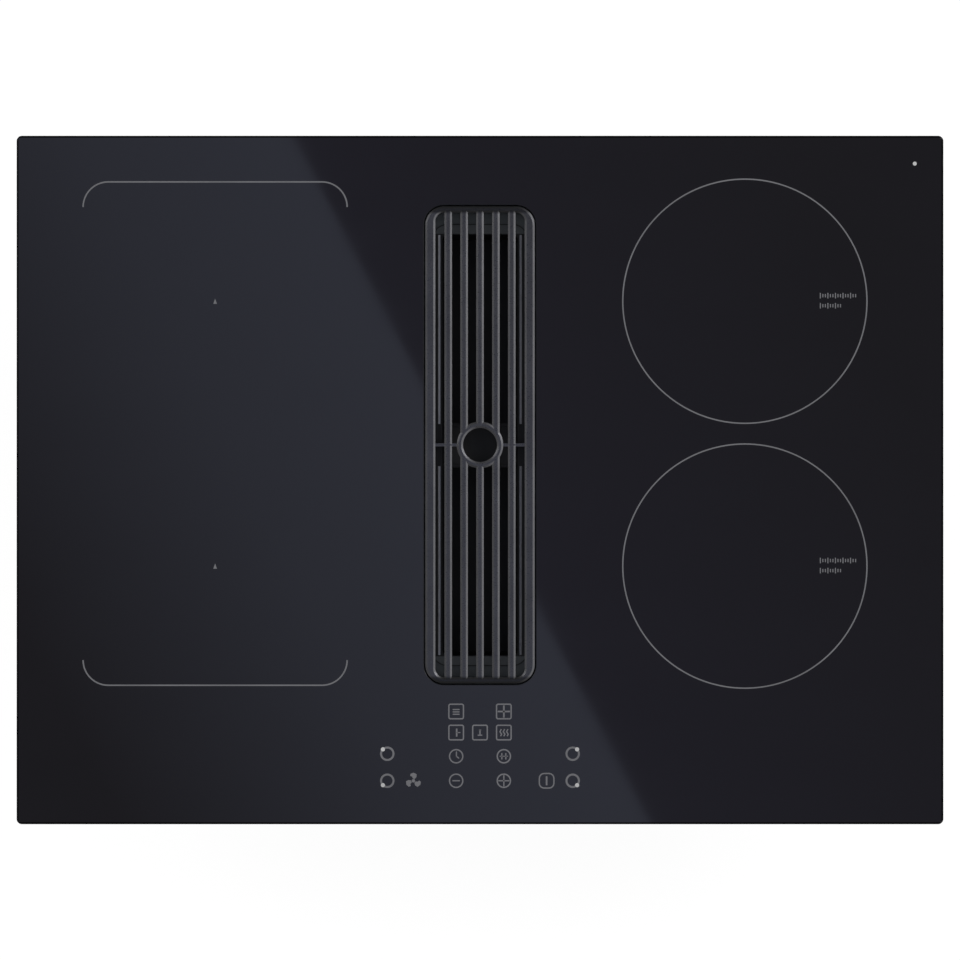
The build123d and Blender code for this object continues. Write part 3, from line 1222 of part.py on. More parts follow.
def clamp_bracket(side, y):
    """A folded bracket on the pan's side: a back plate between two pierced ears."""
    plate_x = side * (PAN_X / 2 + CLAMP_SHEET / 2)
    ear_x = side * (PAN_X / 2 + CLAMP_EAR / 2)
    bracket = slab(CLAMP_SHEET, CLAMP_W, CLAMP_LOW, CLAMP_HIGH, 0, plate_x, y)
    for low in (CLAMP_LOW, CLAMP_HIGH - CLAMP_SHEET):
        ear = slab(CLAMP_EAR, CLAMP_W, low, low + CLAMP_SHEET, 0, ear_x, y)
        outer = ear.edges().filter_by(Axis.Z).sort_by(Axis.X)
        ear = chamfer(outer[-2:] if side > 0 else outer[:2], CLAMP_EAR / 4)
        bracket += ear
    hole_r = (CLAMP_SCREW_R + CLAMP_SCREW_FIT) / cos(radians(180 / 6))  # across the flats
    return bracket - flat_sided(hole_r, CLAMP_LOW, CLAMP_HIGH, side * CLAMP_AXIS_X, y)


def clamp_brackets():
    """All four brackets."""
    return [clamp_bracket(side, y) for side, y in clamp_spots().values()]


def clamp_screws():
    """The long screws that stand in the brackets, each with its head and retaining ring."""
    screws = []
    for side, y in clamp_spots().values():
        x = side * CLAMP_AXIS_X
        screw = flat_sided(CLAMP_HEAD_R, CLAMP_LOW - CLAMP_HEAD_H, CLAMP_LOW, x, y)
        screw += flat_sided(CLAMP_SCREW_R, CLAMP_LOW, CLAMP_HIGH, x, y, PIN_SIDES)
        screw += flat_sided(CLAMP_CLIP_R, CLAMP_HIGH, CLAMP_HIGH + CLAMP_CLIP_T, x, y)
        screws.append(screw)
    return screws


def clamp_claw(side, y):
    """The claw that swings out under the worktop, parked along the pan's side."""
    low = CLAMP_LOW + CLAMP_SHEET
    inward = -1 if y > 0 else 1
    x = side * CLAMP_AXIS_X
    claw = flat_sided(CLAW_W / 2, low, low + CLAW_T, x, y, PIN_SIDES)
    arm = slab(CLAW_W, CLAW_L, low, low + CLAW_T, 0, x, y + inward * CLAW_L / 2)
    relief = Polyline(
        (x - CLAW_W, y + inward * CLAW_RELIEF, low),
        (x - CLAW_W, y + inward * (CLAW_L + 1), low),
        (x - CLAW_W, y + inward * (CLAW_L + 1), low + CLAW_T - CLAW_TIP_T),
        close=True,
    )
    arm -= extrude(make_face(relief), amount=2 * CLAW_W, dir=(1, 0, 0))
    claw += arm
    return claw - rod(CLAMP_SCREW_R + CLAMP_SCREW_FIT, low, low + CLAW_T, x, y)


# ================================================================ mains terminal
def terminal_spots():
    """Screws that hold the terminal cover under the pan."""
    dx = TERMINAL_W / 2 + BOSS_R
    return [(TERMINAL_X + side * dx, TERMINAL_Y) for side in (-1, 1)]


def block_spots():
    """Screws that hold the terminal block under the pan."""
    dx = BLOCK_W / 2 - BOSS_R
    return [(TERMINAL_X + side * dx, TERMINAL_Y - BOSS_R) for side in (-1, 1)]


def terminal_cover():
    """The moulded cover under the pan, with a bore at the back for the cable gland."""
    low = PAN_BOTTOM - TERMINAL_H
    cover = slab(TERMINAL_W, TERMINAL_D, low, PAN_BOTTOM, 0, TERMINAL_X, TERMINAL_Y)
    rim = cover.faces().sort_by(Axis.Z)[0].edges()
    cover = chamfer(rim, TERMINAL_WALL)
    inner_x = TERMINAL_W - 2 * TERMINAL_WALL
    inner_y = TERMINAL_D - 2 * TERMINAL_WALL
    floor = low + TERMINAL_WALL
    cover -= slab(inner_x, inner_y, floor, PAN_BOTTOM, 0, TERMINAL_X, TERMINAL_Y)
    for x, y in terminal_spots():
        lug = flat_sided(2 * BOSS_R, PAN_BOTTOM - TERMINAL_WALL, PAN_BOTTOM, x, y)
        keep = slab(inner_x, inner_y, floor, PAN_BOTTOM, 0, TERMINAL_X, TERMINAL_Y)
        cover += lug - keep
        cover -= screw_hole(x, y, PAN_BOTTOM - TERMINAL_WALL, PAN_BOTTOM)
    wall = TERMINAL_Y + TERMINAL_D / 2
    hole = RegularPolygon(GLAND_NECK_R, PIN_SIDES)
    return cover - along_cable(hole, wall - 2 * TERMINAL_WALL, wall + 1)


def along_cable(outline, y0, y1):
    """A bar on the given outline along the cable's way through the terminal cover's back."""
    z = PAN_BOTTOM - TERMINAL_H / 2
    plane = Plane(origin=(TERMINAL_X, y0, z), x_dir=(-1, 0, 0), z_dir=(0, 1, 0))
    return extrude(plane * outline, amount=y1 - y0)


def cable_gland():
    """The threaded gland in the cover's back wall, open for the mains cable."""
    wall = TERMINAL_Y + TERMINAL_D / 2
    inside = wall - TERMINAL_WALL
    nut = RegularPolygon(GLAND_BOSS_R, 6)
    neck = RegularPolygon(GLAND_NECK_R - GLAND_FIT, PIN_SIDES)
    gland = along_cable(nut, wall, wall + GLAND_L)
    gland += along_cable(neck, inside, wall)
    gland += along_cable(nut, inside - GLAND_NUT_T, inside)
    return gland - along_cable(Circle(GLAND_R), inside - 2 * GLAND_NUT_T, wall + GLAND_L)


def terminal_block():
    """The terminal block under the pan, with a row of wire cages."""
    low = PAN_BOTTOM - BLOCK_H
    cy = TERMINAL_Y - BOSS_R
    block = slab(BLOCK_W, BLOCK_D, low, PAN_BOTTOM, 0, TERMINAL_X, cy)
    for x, y in block_spots():
        block -= screw_hole(x, y, low, PAN_BOTTOM)
        block -= flat_sided(SCREW_HEAD_R + BLOCK_FIT, low, PAN_BOTTOM - BLOCK_SEAT, x, y)
    pitch = (BLOCK_W - 4 * BOSS_R) / BLOCK_POLES
    for i in range(BLOCK_POLES):
        x = TERMINAL_X + (i - (BLOCK_POLES - 1) / 2) * pitch
        cage_y = cy + BLOCK_D / 2
        block -= slab(BLOCK_CAGE_W, BLOCK_D, low, low + BLOCK_H / 2, 0, x, cage_y)
    return block


# ================================================================ screws and output
def case_screws():
    """The hex-head screws that hold the extractor, its cover and the terminal together."""
    flange_low = PAN_BOTTOM - SHAFT_FLANGE_T
    cover_low = PAN_BOTTOM - TERMINAL_WALL
    lip_low = COVER_BOTTOM - SCROLL_LIP_T
    screws = [screw_up(x, y, flange_low, SHAFT_FLANGE_T + SCREW_BITE) for x, y in pan_flange_spots()]
    screws += [screw_up(x, y, cover_low, TERMINAL_WALL + SCREW_BITE) for x, y in terminal_spots()]
    block_low = PAN_BOTTOM - BLOCK_SEAT
    screws += [screw_up(x, y, block_low, BLOCK_SEAT + SCREW_BITE) for x, y in block_spots()]
    screws += [screw_up(x, y, lip_low, SCROLL_LIP_T + COVER_T + 1) for x, y in scroll_screw_spots()]
    ear_low = MOTOR_TOP - MOTOR_EAR_T
    motor_screw_l = SCROLL_FLOOR - ear_low + MOTOR_SCREW_PROUD
    screws += [screw_up(x, y, ear_low, motor_screw_l) for x, y in motor_spots()]
    return screws


def write(name, shape):
    """Write one sub-part, or a group of separate solids, as a STEP file."""
    if isinstance(shape, list):
        solids = [solid for piece in shape for solid in piece.solids()]
        shape = Compound(children=solids)
    shape.label = name
    export_step(shape, os.path.join("parts", name + ".step"))


os.makedirs("parts", exist_ok=True)
write("glass_top", glass_top())
write("worktop_seal", worktop_seal())
write("glass_frame", glass_frame())
write("inlet_collar", inlet_collar())
write("intake_gasket", intake_gasket())
write("grille", grille())
write("grille_pads", grille_pads())
write("filter_frame", filter_frame())
write("filter_mesh", filter_mesh())
write("filter_handle", filter_handle())
write("drip_tray", drip_tray())
write("base_pan", base_pan())
for zone, (zone_x, zone_y) in zone_spots().items():
    write("coil_" + zone, coil(zone_x, zone_y))
    write("coil_carrier_" + zone, coil_carrier(zone_x, zone_y))
write("ferrite_bars", ferrite_bars())
write("zone_sensors", zone_sensors())
for hand, side in (("left", -1), ("right", 1)):
    write("insulation_sheet_" + hand, insulation_sheet(side))
    write("coil_bridge_" + hand, coil_bridge(side))
    write("power_board_" + hand, power_board(side))
    write("heat_sink_" + hand, heat_sink(side))
    write("fan_housing_" + hand, fan_housing(side))
    write("fan_rotor_" + hand, fan_rotor(side))
write("mains_board", mains_board())
write("touch_board", touch_board())
write("touch_pads", touch_pads())
write("touch_tray", touch_tray())
write("suction_shaft", suction_shaft())
write("crossover_duct", crossover_duct())
write("scroll_cover", scroll_cover())
write("scroll_casing", scroll_casing())
write("impeller", impeller())
write("motor_spindle", motor_spindle())
write("blower_motor", blower_motor())
write("motor_bushes", motor_bushes())
write("outlet_spigot", outlet_spigot())
write("outlet_flap_upper", outlet_flap("upper"))
write("outlet_flap_lower", outlet_flap("lower"))
write("clamp_brackets", clamp_brackets())
write("clamp_screws", clamp_screws())
for spot, (clamp_side, clamp_y) in clamp_spots().items():
    write("clamp_claw_" + spot, clamp_claw(clamp_side, clamp_y))
write("terminal_cover", terminal_cover())
write("terminal_block", terminal_block())
write("cable_gland", cable_gland())
write("case_screws", case_screws() + frame_screws())
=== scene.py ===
import logging
import math
from collections.abc import Iterable
from dataclasses import dataclass, field
from enum import Enum
from typing import ClassVar

import bmesh
import bpy
from mathutils import Matrix, Vector


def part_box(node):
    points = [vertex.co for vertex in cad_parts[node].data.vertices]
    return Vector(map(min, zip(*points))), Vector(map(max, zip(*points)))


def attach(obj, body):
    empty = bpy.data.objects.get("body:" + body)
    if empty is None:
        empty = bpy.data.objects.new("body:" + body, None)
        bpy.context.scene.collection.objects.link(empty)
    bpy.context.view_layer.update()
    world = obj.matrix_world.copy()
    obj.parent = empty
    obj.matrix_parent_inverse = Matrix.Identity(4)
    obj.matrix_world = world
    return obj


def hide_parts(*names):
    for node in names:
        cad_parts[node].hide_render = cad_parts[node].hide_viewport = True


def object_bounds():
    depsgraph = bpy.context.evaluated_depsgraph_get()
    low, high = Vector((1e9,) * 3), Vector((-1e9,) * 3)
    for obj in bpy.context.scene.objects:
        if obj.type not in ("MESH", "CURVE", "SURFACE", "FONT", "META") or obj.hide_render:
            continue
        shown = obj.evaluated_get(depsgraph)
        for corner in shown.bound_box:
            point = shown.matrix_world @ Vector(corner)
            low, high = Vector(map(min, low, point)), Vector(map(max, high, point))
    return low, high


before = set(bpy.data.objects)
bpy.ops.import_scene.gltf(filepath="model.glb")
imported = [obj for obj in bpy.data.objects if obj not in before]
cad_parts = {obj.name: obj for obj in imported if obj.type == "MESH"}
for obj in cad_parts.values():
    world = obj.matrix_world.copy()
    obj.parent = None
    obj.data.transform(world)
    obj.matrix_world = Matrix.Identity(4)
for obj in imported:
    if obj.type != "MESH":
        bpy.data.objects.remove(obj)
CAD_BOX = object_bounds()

LOG = logging.getLogger("cooktop")
MM = 0.001
HOB = "hob"
HANDS = ("left", "right")
PLACES = ("rear", "front")
CORNERS = ("rear_left", "rear_right", "front_left", "front_right")
EASED_ANGLE = 25.0  # degrees between two faces from which their edge is rounded
NOISE_SPAN = (0.3, 0.7)  # where nearly all values of a noise lie
MIX_BODY, MIX_OTHER, MIX_RESULT = 6, 7, 2  # a colour mix's two inputs and its output
THREAD_ROWS = 4  # rows of points to one turn of a thread
THREAD_DEPTH = 0.6  # of the pitch
MITRE_LIMIT = 0.3  # least cosine of half the turn at a printed line's corner
Point = tuple[float, float]
Triple = tuple[float, float, float]
Colour = tuple[float, float, float, float]
Socket = bpy.types.NodeSocket


def srgb(red: float, green: float, blue: float) -> Colour:
    """Turn a colour as a screen shows it, 0 to 255, into Blender's linear values.

    Args:
        red: Screen value of red.
        green: Screen value of green.
        blue: Screen value of blue.

    Returns:
        The linear colour with full opacity.
    """
    linear = []
    for value in (red, green, blue):
        share = value / 255  # the numbers below are those of the sRGB curve
        linear.append(share / 12.92 if share <= 0.04045 else ((share + 0.055) / 1.055) ** 2.4)
    return (linear[0], linear[1], linear[2], 1.0)


def shade_of(colour: Colour, factor: float) -> Colour:
    """Darken or lighten a colour.

    Args:
        colour: The colour with its opacity.
        factor: What red, green and blue are multiplied by.

    Returns:
        The changed colour.
    """
    return (colour[0] * factor, colour[1] * factor, colour[2] * factor, 1.0)


# ------------------------------------------------------------------ finishes
@dataclass
class Bench:
    """A node tree with short calls that add and join nodes."""

    tree: bpy.types.NodeTree

    def add(self, kind: str, **values: object) -> bpy.types.Node:
        """Add a node and set its properties and inputs.

        Args:
            kind: Blender's node type.
            values: Properties by name, or inputs by name with spaces as underscores.

        Returns:
            The new node.
        """
        node = self.tree.nodes.new(kind)
        for key, value in values.items():
            if hasattr(node, key):
                setattr(node, key, value)
            else:
                node.inputs[key.replace("_", " ")].default_value = value
        return node

    def link(self, source: Socket, target: Socket) -> None:
        """Join two sockets."""
        self.tree.links.new(source, target)

    def feed(self, target: Socket, value: Socket | float) -> None:
        """Give an input a socket or a number.

        Args:
            target: The input.
            value: What it gets.
        """
        if isinstance(value, Socket):
            self.link(value, target)
        else:
            target.default_value = value

    def math(self, operation: str, first: Socket, second: Socket | float = 0.0) -> Socket:
        """Work out one value from two.

        Args:
            operation: Blender's name for the sum.
            first: The first value.
            second: The second value, where the sum has one.

        Returns:
            The socket with the result.
        """
        node = self.add("ShaderNodeMath", operation=operation)
        self.feed(node.inputs[0], first)
        self.feed(node.inputs[1], second)
        return node.outputs["Value"]


class NodeBench(Bench):
    """A new material's node tree, with calls for what the finishes draw."""

    def __init__(self, name: str) -> None:
        """Make an empty material with its Principled shader.

        Args:
            name: The material's name.
        """
        self.material = bpy.data.materials.new(name)
        self.material.use_nodes = True
        super().__init__(self.material.node_tree)
        self.shader = self.tree.nodes["Principled BSDF"]

    def place(self, stretch: Triple = (1.0, 1.0, 1.0)) -> Socket:
        """Give the object's own coordinates, stretched along each axis.

        Args:
            stretch: Factor along X, Y and Z.

        Returns:
            The socket with the coordinates.
        """
        source = self.add("ShaderNodeTexCoord")
        mapping = self.add("ShaderNodeMapping", Scale=stretch)
        self.link(source.outputs["Object"], mapping.inputs["Vector"])
        return mapping.outputs["Vector"]

    def noise(
        self, scale: float, detail: float = 2.0, stretch: Triple = (1.0, 1.0, 1.0)
    ) -> Socket:
        """Give a noise value over the surface.

        Args:
            scale: Cells to a metre.
            detail: Octaves of the noise.
            stretch: Factor along X, Y and Z.

        Returns:
            The socket with the noise, 0 to 1.
        """
        node = self.add("ShaderNodeTexNoise", Scale=scale, Detail=detail)
        self.link(self.place(stretch), node.inputs["Vector"])
        return node.outputs["Fac"]

    def cells(self, scale: float) -> Socket:
        """Give the distance from the nearest of many scattered points.

        Args:
            scale: Points to a metre.

        Returns:
            The socket with the distance, 0 to about 1.
        """
        node = self.add("ShaderNodeTexVoronoi", Scale=scale)
        self.link(self.place(), node.inputs["Vector"])
        return node.outputs["Distance"]

    def between(self, value: Socket, low: float, high: float) -> Socket:
        """Spread a 0.3 to 0.7 value over a range.

        Args:
            value: The socket to spread.
            low: Result at 0.3.
            high: Result at 0.7.

        Returns:
            The socket with the result.
        """
        node = self.add("ShaderNodeMapRange", To_Min=low, To_Max=high)
        for name, end in zip(("From Min", "From Max"), NOISE_SPAN):
            node.inputs[name].default_value = end
        self.link(value, node.inputs["Value"])
        return node.outputs["Result"]

    def tint(self, value: Socket, dark: Colour, light: Colour) -> Socket:
        """Mix two colours by a value.

        Args:
            value: The socket that mixes.
            dark: Colour at 0.3.
            light: Colour at 0.7.

        Returns:
            The socket with the colour.
        """
        ramp = self.add("ShaderNodeValToRGB")
        for stop, end, colour in zip(ramp.color_ramp.elements, NOISE_SPAN, (dark, light)):
            stop.position = end
            stop.color = colour
        self.link(value, ramp.inputs["Fac"])
        return ramp.outputs["Color"]

    def rounded(self, reach: float) -> tuple[Socket, Socket]:
        """Give a normal that is rounded over the edges, and how near an edge is.

        Args:
            reach: How far from the edge the rounding starts, in metres.

        Returns:
            The sockets with the normal, and with 0 on a face to 1 on an edge.
        """
        bevel = self.add("ShaderNodeBevel", samples=4, Radius=reach)
        flat = self.add("ShaderNodeNewGeometry")
        turn = self.add("ShaderNodeVectorMath", operation="DOT_PRODUCT")
        self.link(bevel.outputs["Normal"], turn.inputs[0])
        self.link(flat.outputs["Normal"], turn.inputs[1])
        edge = self.add("ShaderNodeMapRange", From_Min=1.0, From_Max=0.9, To_Min=0.0, To_Max=1.0)
        self.link(turn.outputs["Value"], edge.inputs["Value"])
        return bevel.outputs["Normal"], edge.outputs["Result"]

    def over(self, body: Socket, other: Colour, share: Socket) -> Socket:
        """Lay one colour over another.

        Args:
            body: The socket with the colour below.
            other: The colour above.
            share: The socket with how much of it shows, 0 to 1.

        Returns:
            The socket with the colour.
        """
        mix = self.add("ShaderNodeMix", data_type="RGBA")
        self.link(share, mix.inputs["Factor"])
        self.link(body, mix.inputs[MIX_BODY])
        mix.inputs[MIX_OTHER].default_value = other
        return mix.outputs[MIX_RESULT]

    def beyond(self, axis: str, middle: float, reach: float, blend: float) -> Socket:
        """Tell which points lie further than a distance from a plane across one axis.

        Args:
            axis: The axis, X, Y or Z.
            middle: Where the plane crosses it, in metres.
            reach: Where the share starts to rise, in metres from the plane.
            blend: Over how many metres it rises.

        Returns:
            The socket with 0 near the plane to 1 far from it.
        """
        split = self.add("ShaderNodeSeparateXYZ")
        self.link(self.place(), split.inputs["Vector"])
        away = self.math("ABSOLUTE", self.math("SUBTRACT", split.outputs[axis], middle))
        share = self.add("ShaderNodeMapRange", From_Min=reach, From_Max=reach + blend)
        self.link(away, share.inputs["Value"])
        return share.outputs["Result"]

    def bump(self, height: Socket, strength: float, depth: float) -> bpy.types.Node:
        """Raise the surface by a height.

        Args:
            height: The socket with the height, 0 to 1.
            strength: Share of the bump that shows.
            depth: Depth in metres.

        Returns:
            The bump node, whose Normal input is still free.
        """
        node = self.add("ShaderNodeBump", Strength=strength, Distance=depth)
        self.link(height, node.inputs["Height"])
        self.link(node.outputs["Normal"], self.shader.inputs["Normal"])
        return node

    def colour(self, socket: Socket) -> None:
        """Use a socket for the base colour."""
        self.link(socket, self.shader.inputs["Base Color"])

    def roughness(self, socket: Socket) -> None:
        """Use a socket for the roughness."""
        self.link(socket, self.shader.inputs["Roughness"])

    def surface(self, socket: Socket) -> None:
        """Use a socket for the whole surface in place of the Principled shader."""
        self.link(socket, self.tree.nodes["Material Output"].inputs["Surface"])


@dataclass(frozen=True)
class Finish:
    """A plain finish with fine grain; the other finishes add to it."""

    name: str
    colour: Colour
    rough: float = 0.5
    spread: float = 0.08
    metal: float = 0.0
    cloud: float = 18.0
    dark: float = 0.88
    light: float = 1.1
    grain: float = 1400.0
    grain_depth: float = 0.00004
    relief: float = 0.4

    def build(self) -> bpy.types.Material:
        """Make the material.

        Returns:
            The Blender material.
        """
        bench = NodeBench(self.name)
        bench.shader.inputs["Metallic"].default_value = self.metal
        bench.material.diffuse_color = self.colour
        self.shade(bench)
        return bench.material

    def paler(self, factor: float) -> Colour:
        """Give the finish's colour, lightened or darkened by a factor."""
        return shade_of(self.colour, factor)

    def tinted(self, bench: NodeBench, value: Socket) -> Socket:
        """Give the colour from its dark to its light by a value."""
        return bench.tint(value, self.paler(self.dark), self.paler(self.light))

    def roughen(self, bench: NodeBench, value: Socket, height: Socket) -> bpy.types.Node:
        """Set the roughness by one value and the bump by another, and give the bump's node."""
        bench.roughness(bench.between(value, self.rough - self.spread, self.rough + self.spread))
        return bench.bump(height, self.relief, self.grain_depth)

    def shade(self, bench: NodeBench) -> None:
        """Give the surface its cloudy colour, roughness and grain.

        Args:
            bench: The material's node bench.
        """
        bench.colour(self.tinted(bench, bench.noise(self.cloud, detail=3.0)))
        fine = bench.noise(self.grain)
        self.roughen(bench, fine, fine)


@dataclass(frozen=True)
class GlassCeramic(Finish):
    """Black glass ceramic with a wiped surface's faint haze, and a painted dark reflection on its
    rounded edges and in a black band along its border.

    Lengths are in metres, as in every finish.
    """

    cloud: float = 9.0
    dark: float = 0.97
    light: float = 1.03
    wiped: Triple = (1.0, 2.4, 1.0)
    edge_reach: float = 0.0009
    # line: width of the border band that gets the painted dark reflection
    line: float = 0.0018
    border_shade_blend: float = 0.0007
    painted_border_shade: float = 0.03
    shine: float = 0.5
    ior: float = 1.5
    wave: float = 3.0
    grain_depth: float = 0.0001
    relief: float = 0.05

    def shade(self, bench: NodeBench) -> None:
        """Polish the surface, leave it a trace of haze, and paint the dark reflection of the ground
        edge: black on the rounded edges and in a band round the border, where the shine is taken
        away.

        Args:
            bench: The material's node bench.
        """
        haze = bench.noise(self.cloud, 4.0, self.wiped)
        normal, edge = bench.rounded(self.edge_reach)
        right, rear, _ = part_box("glass_top")[1]
        # line: share of the border band that gets the painted dark reflection, black and without
        # shine
        line = bench.math(
            "MAXIMUM",
            bench.beyond("X", 0.0, right - self.line, self.border_shade_blend),
            bench.beyond("Y", 0.0, rear - self.line, self.border_shade_blend),
        )
        black = self.paler(self.painted_border_shade)
        # painted dark reflection: black laid over the rounded edges and over the border band
        bench.colour(bench.over(bench.over(self.tinted(bench, haze), black, edge), black, line))
        shine = bench.between(line, self.shine, 0.0)
        bench.link(shine, bench.shader.inputs["Specular IOR Level"])
        bench.roughness(bench.between(haze, self.rough, self.rough + self.spread))
        bench.shader.inputs["IOR"].default_value = self.ior
        wave = bench.bump(bench.noise(self.wave, detail=1.0), self.relief, self.grain_depth)
        bench.link(normal, wave.inputs["Normal"])


@dataclass(frozen=True)
class Moulding(Finish):
    """Injection-moulded plastic: an eroded texture, flow clouds, and a painted highlight that makes
    the edges paler.
    """

    cloud: float = 11.0
    flow: Triple = (1.0, 1.0, 2.2)
    dark: float = 0.86
    light: float = 1.12
    # edge: how much paler the painted highlight makes the edges
    edge: float = 1.35
    edge_reach: float = 0.0007
    finer: float = 1.7
    relief: float = 0.3

    def shade(self, bench: NodeBench) -> None:
        """Add the eroded texture, the clouds of the flow and the painted highlight on the edges.

        Args:
            bench: The material's node bench.
        """
        body = self.tinted(bench, bench.noise(self.cloud, 4.0, self.flow))
        normal, edge = bench.rounded(self.edge_reach)
        # painted highlight: the rounded edges are made paler
        bench.colour(bench.over(body, self.paler(self.edge), edge))
        pits = self.roughen(bench, bench.noise(self.grain * self.finer), bench.cells(self.grain))
        bench.link(normal, pits.inputs["Normal"])


@dataclass(frozen=True)
class CoatedCasting(Finish):
    """A casting or sheet under a satin coat: slight orange peel, and a painted highlight that makes
    the edges paler.
    """

    cloud: float = 40.0
    dark: float = 0.9
    # edge: how much paler the painted highlight makes the edges
    edge: float = 1.5
    edge_reach: float = 0.0008
    relief: float = 0.25

    def shade(self, bench: NodeBench) -> None:
        """Add orange peel and a painted highlight along the edges.

        Args:
            bench: The material's node bench.
        """
        body = self.tinted(bench, bench.noise(self.cloud, detail=3.0))
        _, edge = bench.rounded(self.edge_reach)
        # painted highlight: the rounded edges are made paler
        bench.colour(bench.over(body, self.paler(self.edge), edge))
        peel = bench.noise(self.grain)
        self.roughen(bench, peel, peel)


@dataclass(frozen=True)
class GrilleCasting(CoatedCasting):
    """The grille's satin coat, with painted shade on its two end rails, which the side lamps leave
    unlit.

    The rails start at a distance from the grille's middle along Y.
    """

    middle: float = 0.0265
    rail: float = 0.1742
    blend: float = 0.0018
    painted_rail_shade: float = 0.42

    def shade(self, bench: NodeBench) -> None:
        """Paint shade onto the end rails by darkening the coat there.

        Args:
            bench: The material's node bench.
        """
        super().shade(bench)
        below = bench.shader.inputs["Base Color"].links[0].from_socket
        # painted shade: the end rails run across the light from the sides and catch none of it
        ends = bench.beyond("Y", self.middle, self.rail, self.blend)
        bench.colour(bench.over(below, self.paler(self.painted_rail_shade), ends))


@dataclass(frozen=True)
class BrushedSheet(Finish):
    """Sheet metal with the fine lines of brushing or rolling along one axis."""

    along: Triple = (0.04, 1.0, 1.0)
    dark: float = 0.85
    light: float = 1.08
    relief: float = 0.3

    def shade(self, bench: NodeBench) -> None:
        """Draw the brushing lines into colour, roughness and bump.

        Args:
            bench: The material's node bench.
        """
        lines = bench.noise(self.grain, 3.0, self.along)
        bench.colour(self.tinted(bench, lines))
        self.roughen(bench, lines, lines)


@dataclass(frozen=True)
class ZincSheet(Finish):
    """Zinc-coated steel with the large crystals of the spangle."""

    spangle: float = 130.0
    dark: float = 0.92
    light: float = 1.04
    relief: float = 0.15

    def shade(self, bench: NodeBench) -> None:
        """Draw the spangle as cells of slightly different brightness.

        Args:
            bench: The material's node bench.
        """
        cells = bench.add("ShaderNodeTexVoronoi", Scale=self.spangle)
        bench.link(bench.place(), cells.inputs["Vector"])
        grey = bench.add("ShaderNodeRGBToBW")
        bench.link(cells.outputs["Color"], grey.inputs["Color"])
        value = grey.outputs["Val"]
        bench.colour(self.tinted(bench, value))
        self.roughen(bench, value, bench.noise(self.grain))


@dataclass(frozen=True)
class CircuitBoard(Finish):
    """Solder-masked board with the paler squares of its copper tracks."""

    tracks: float = 90.0
    gap: float = 0.03
    shades: Triple = (0.85, 1.2, 2.2)
    grain_depth: float = 0.00005
    relief: float = 0.2

    def shade(self, bench: NodeBench) -> None:
        """Draw the tracks as a brick pattern under the mask.

        Args:
            bench: The material's node bench.
        """
        tracks = bench.add("ShaderNodeTexBrick", Scale=self.tracks, Mortar_Size=self.gap)
        for name, factor in zip(("Color1", "Color2", "Mortar"), self.shades):
            tracks.inputs[name].default_value = self.paler(factor)
        bench.link(bench.place(), tracks.inputs["Vector"])
        bench.colour(tracks.outputs["Color"])
        self.roughen(bench, bench.noise(self.grain), tracks.outputs["Fac"])


@dataclass(frozen=True)
class WoundCopper(Finish):
    """Enamelled strand laid in close turns."""

    twist: Triple = (1.0, 0.3, 1.0)
    dark: float = 0.7
    light: float = 1.15
    grain_depth: float = 0.00025
    relief: float = 0.6

    def shade(self, bench: NodeBench) -> None:
        """Draw the strand's twist as short slanted grooves.

        Args:
            bench: The material's node bench.
        """
        grooves = bench.noise(self.grain, stretch=self.twist)
        bench.colour(self.tinted(bench, grooves))
        self.roughen(bench, grooves, grooves)


@dataclass(frozen=True)
class CellFoam(Finish):
    """Closed-cell sealing foam with its cut cells open to the surface."""

    dark: float = 0.55
    light: float = 1.2
    relief: float = 0.8

    def shade(self, bench: NodeBench) -> None:
        """Sink the cut cells into the surface, and paint shade into them by darkening them.

        Args:
            bench: The material's node bench.
        """
        pores = bench.cells(self.grain)
        # painted shade: the sunk cells are darker
        bench.colour(self.tinted(bench, pores))
        self.roughen(bench, pores, pores)


GLASS = GlassCeramic("black_glass", srgb(25, 24, 29), rough=0.03, spread=0.015)
INK: dict[str, float] = {"rough": 0.45, "grain": 2600.0, "grain_depth": 0.00001}
PRINT = Finish("grey_print", srgb(118, 118, 122), **INK)
PRINT_BRIGHT = Finish("bright_print", srgb(205, 205, 205), **INK)
# The edge factors of the coats below set how much paler the painted highlight makes their edges.
GRILLE_COAT = GrilleCasting("grille_coat", srgb(98, 98, 101), rough=0.33, metal=1.0, grain=1100.0)
# The cassette's near-black coat is partly its own black paint and partly painted shade, for the
# dark deep under the grille.
CASSETTE_COAT_AND_SHADE = CoatedCasting("cassette_coat_and_shade", srgb(13, 13, 14), rough=0.5, grain=1500.0, edge=1.8)
CAP_COAT = CoatedCasting("cap_coat", srgb(79, 84, 88), rough=0.5, grain=1500.0, edge=1.1)
RIM_STEEL = BrushedSheet(
    "rim_steel", srgb(200, 201, 205), rough=0.3, metal=1.0, grain=900.0, along=(1.0, 0.03, 1.0)
)
HANDLE_MOULD = Moulding("handle_mould", srgb(26, 26, 28), rough=0.5, grain=2400.0)
BLACK_MOULD = Moulding("black_mould", srgb(38, 38, 40), rough=0.52, grain=1800.0)
COLLAR_MOULD = Moulding("collar_mould", srgb(88, 95, 100), rough=0.5, grain=2200.0)
GREY_MOULD = Moulding("grey_mould", srgb(120, 122, 124), rough=0.5, grain=1600.0)
WHITE_MOULD = Moulding("white_mould", srgb(206, 204, 198), rough=0.5, grain=1600.0)
FOAM = CellFoam(
    "seal_foam", srgb(34, 34, 35), rough=0.92, spread=0.03, grain=1500.0, grain_depth=0.0003
)
RUBBER = Finish("soft_rubber", srgb(34, 34, 34), rough=0.8, grain=1800.0, grain_depth=0.0001)
STEEL = BrushedSheet(
    "brushed_steel", srgb(190, 190, 192), rough=0.32, metal=1.0, grain=900.0, along=(1.0, 0.04, 1.0)
)
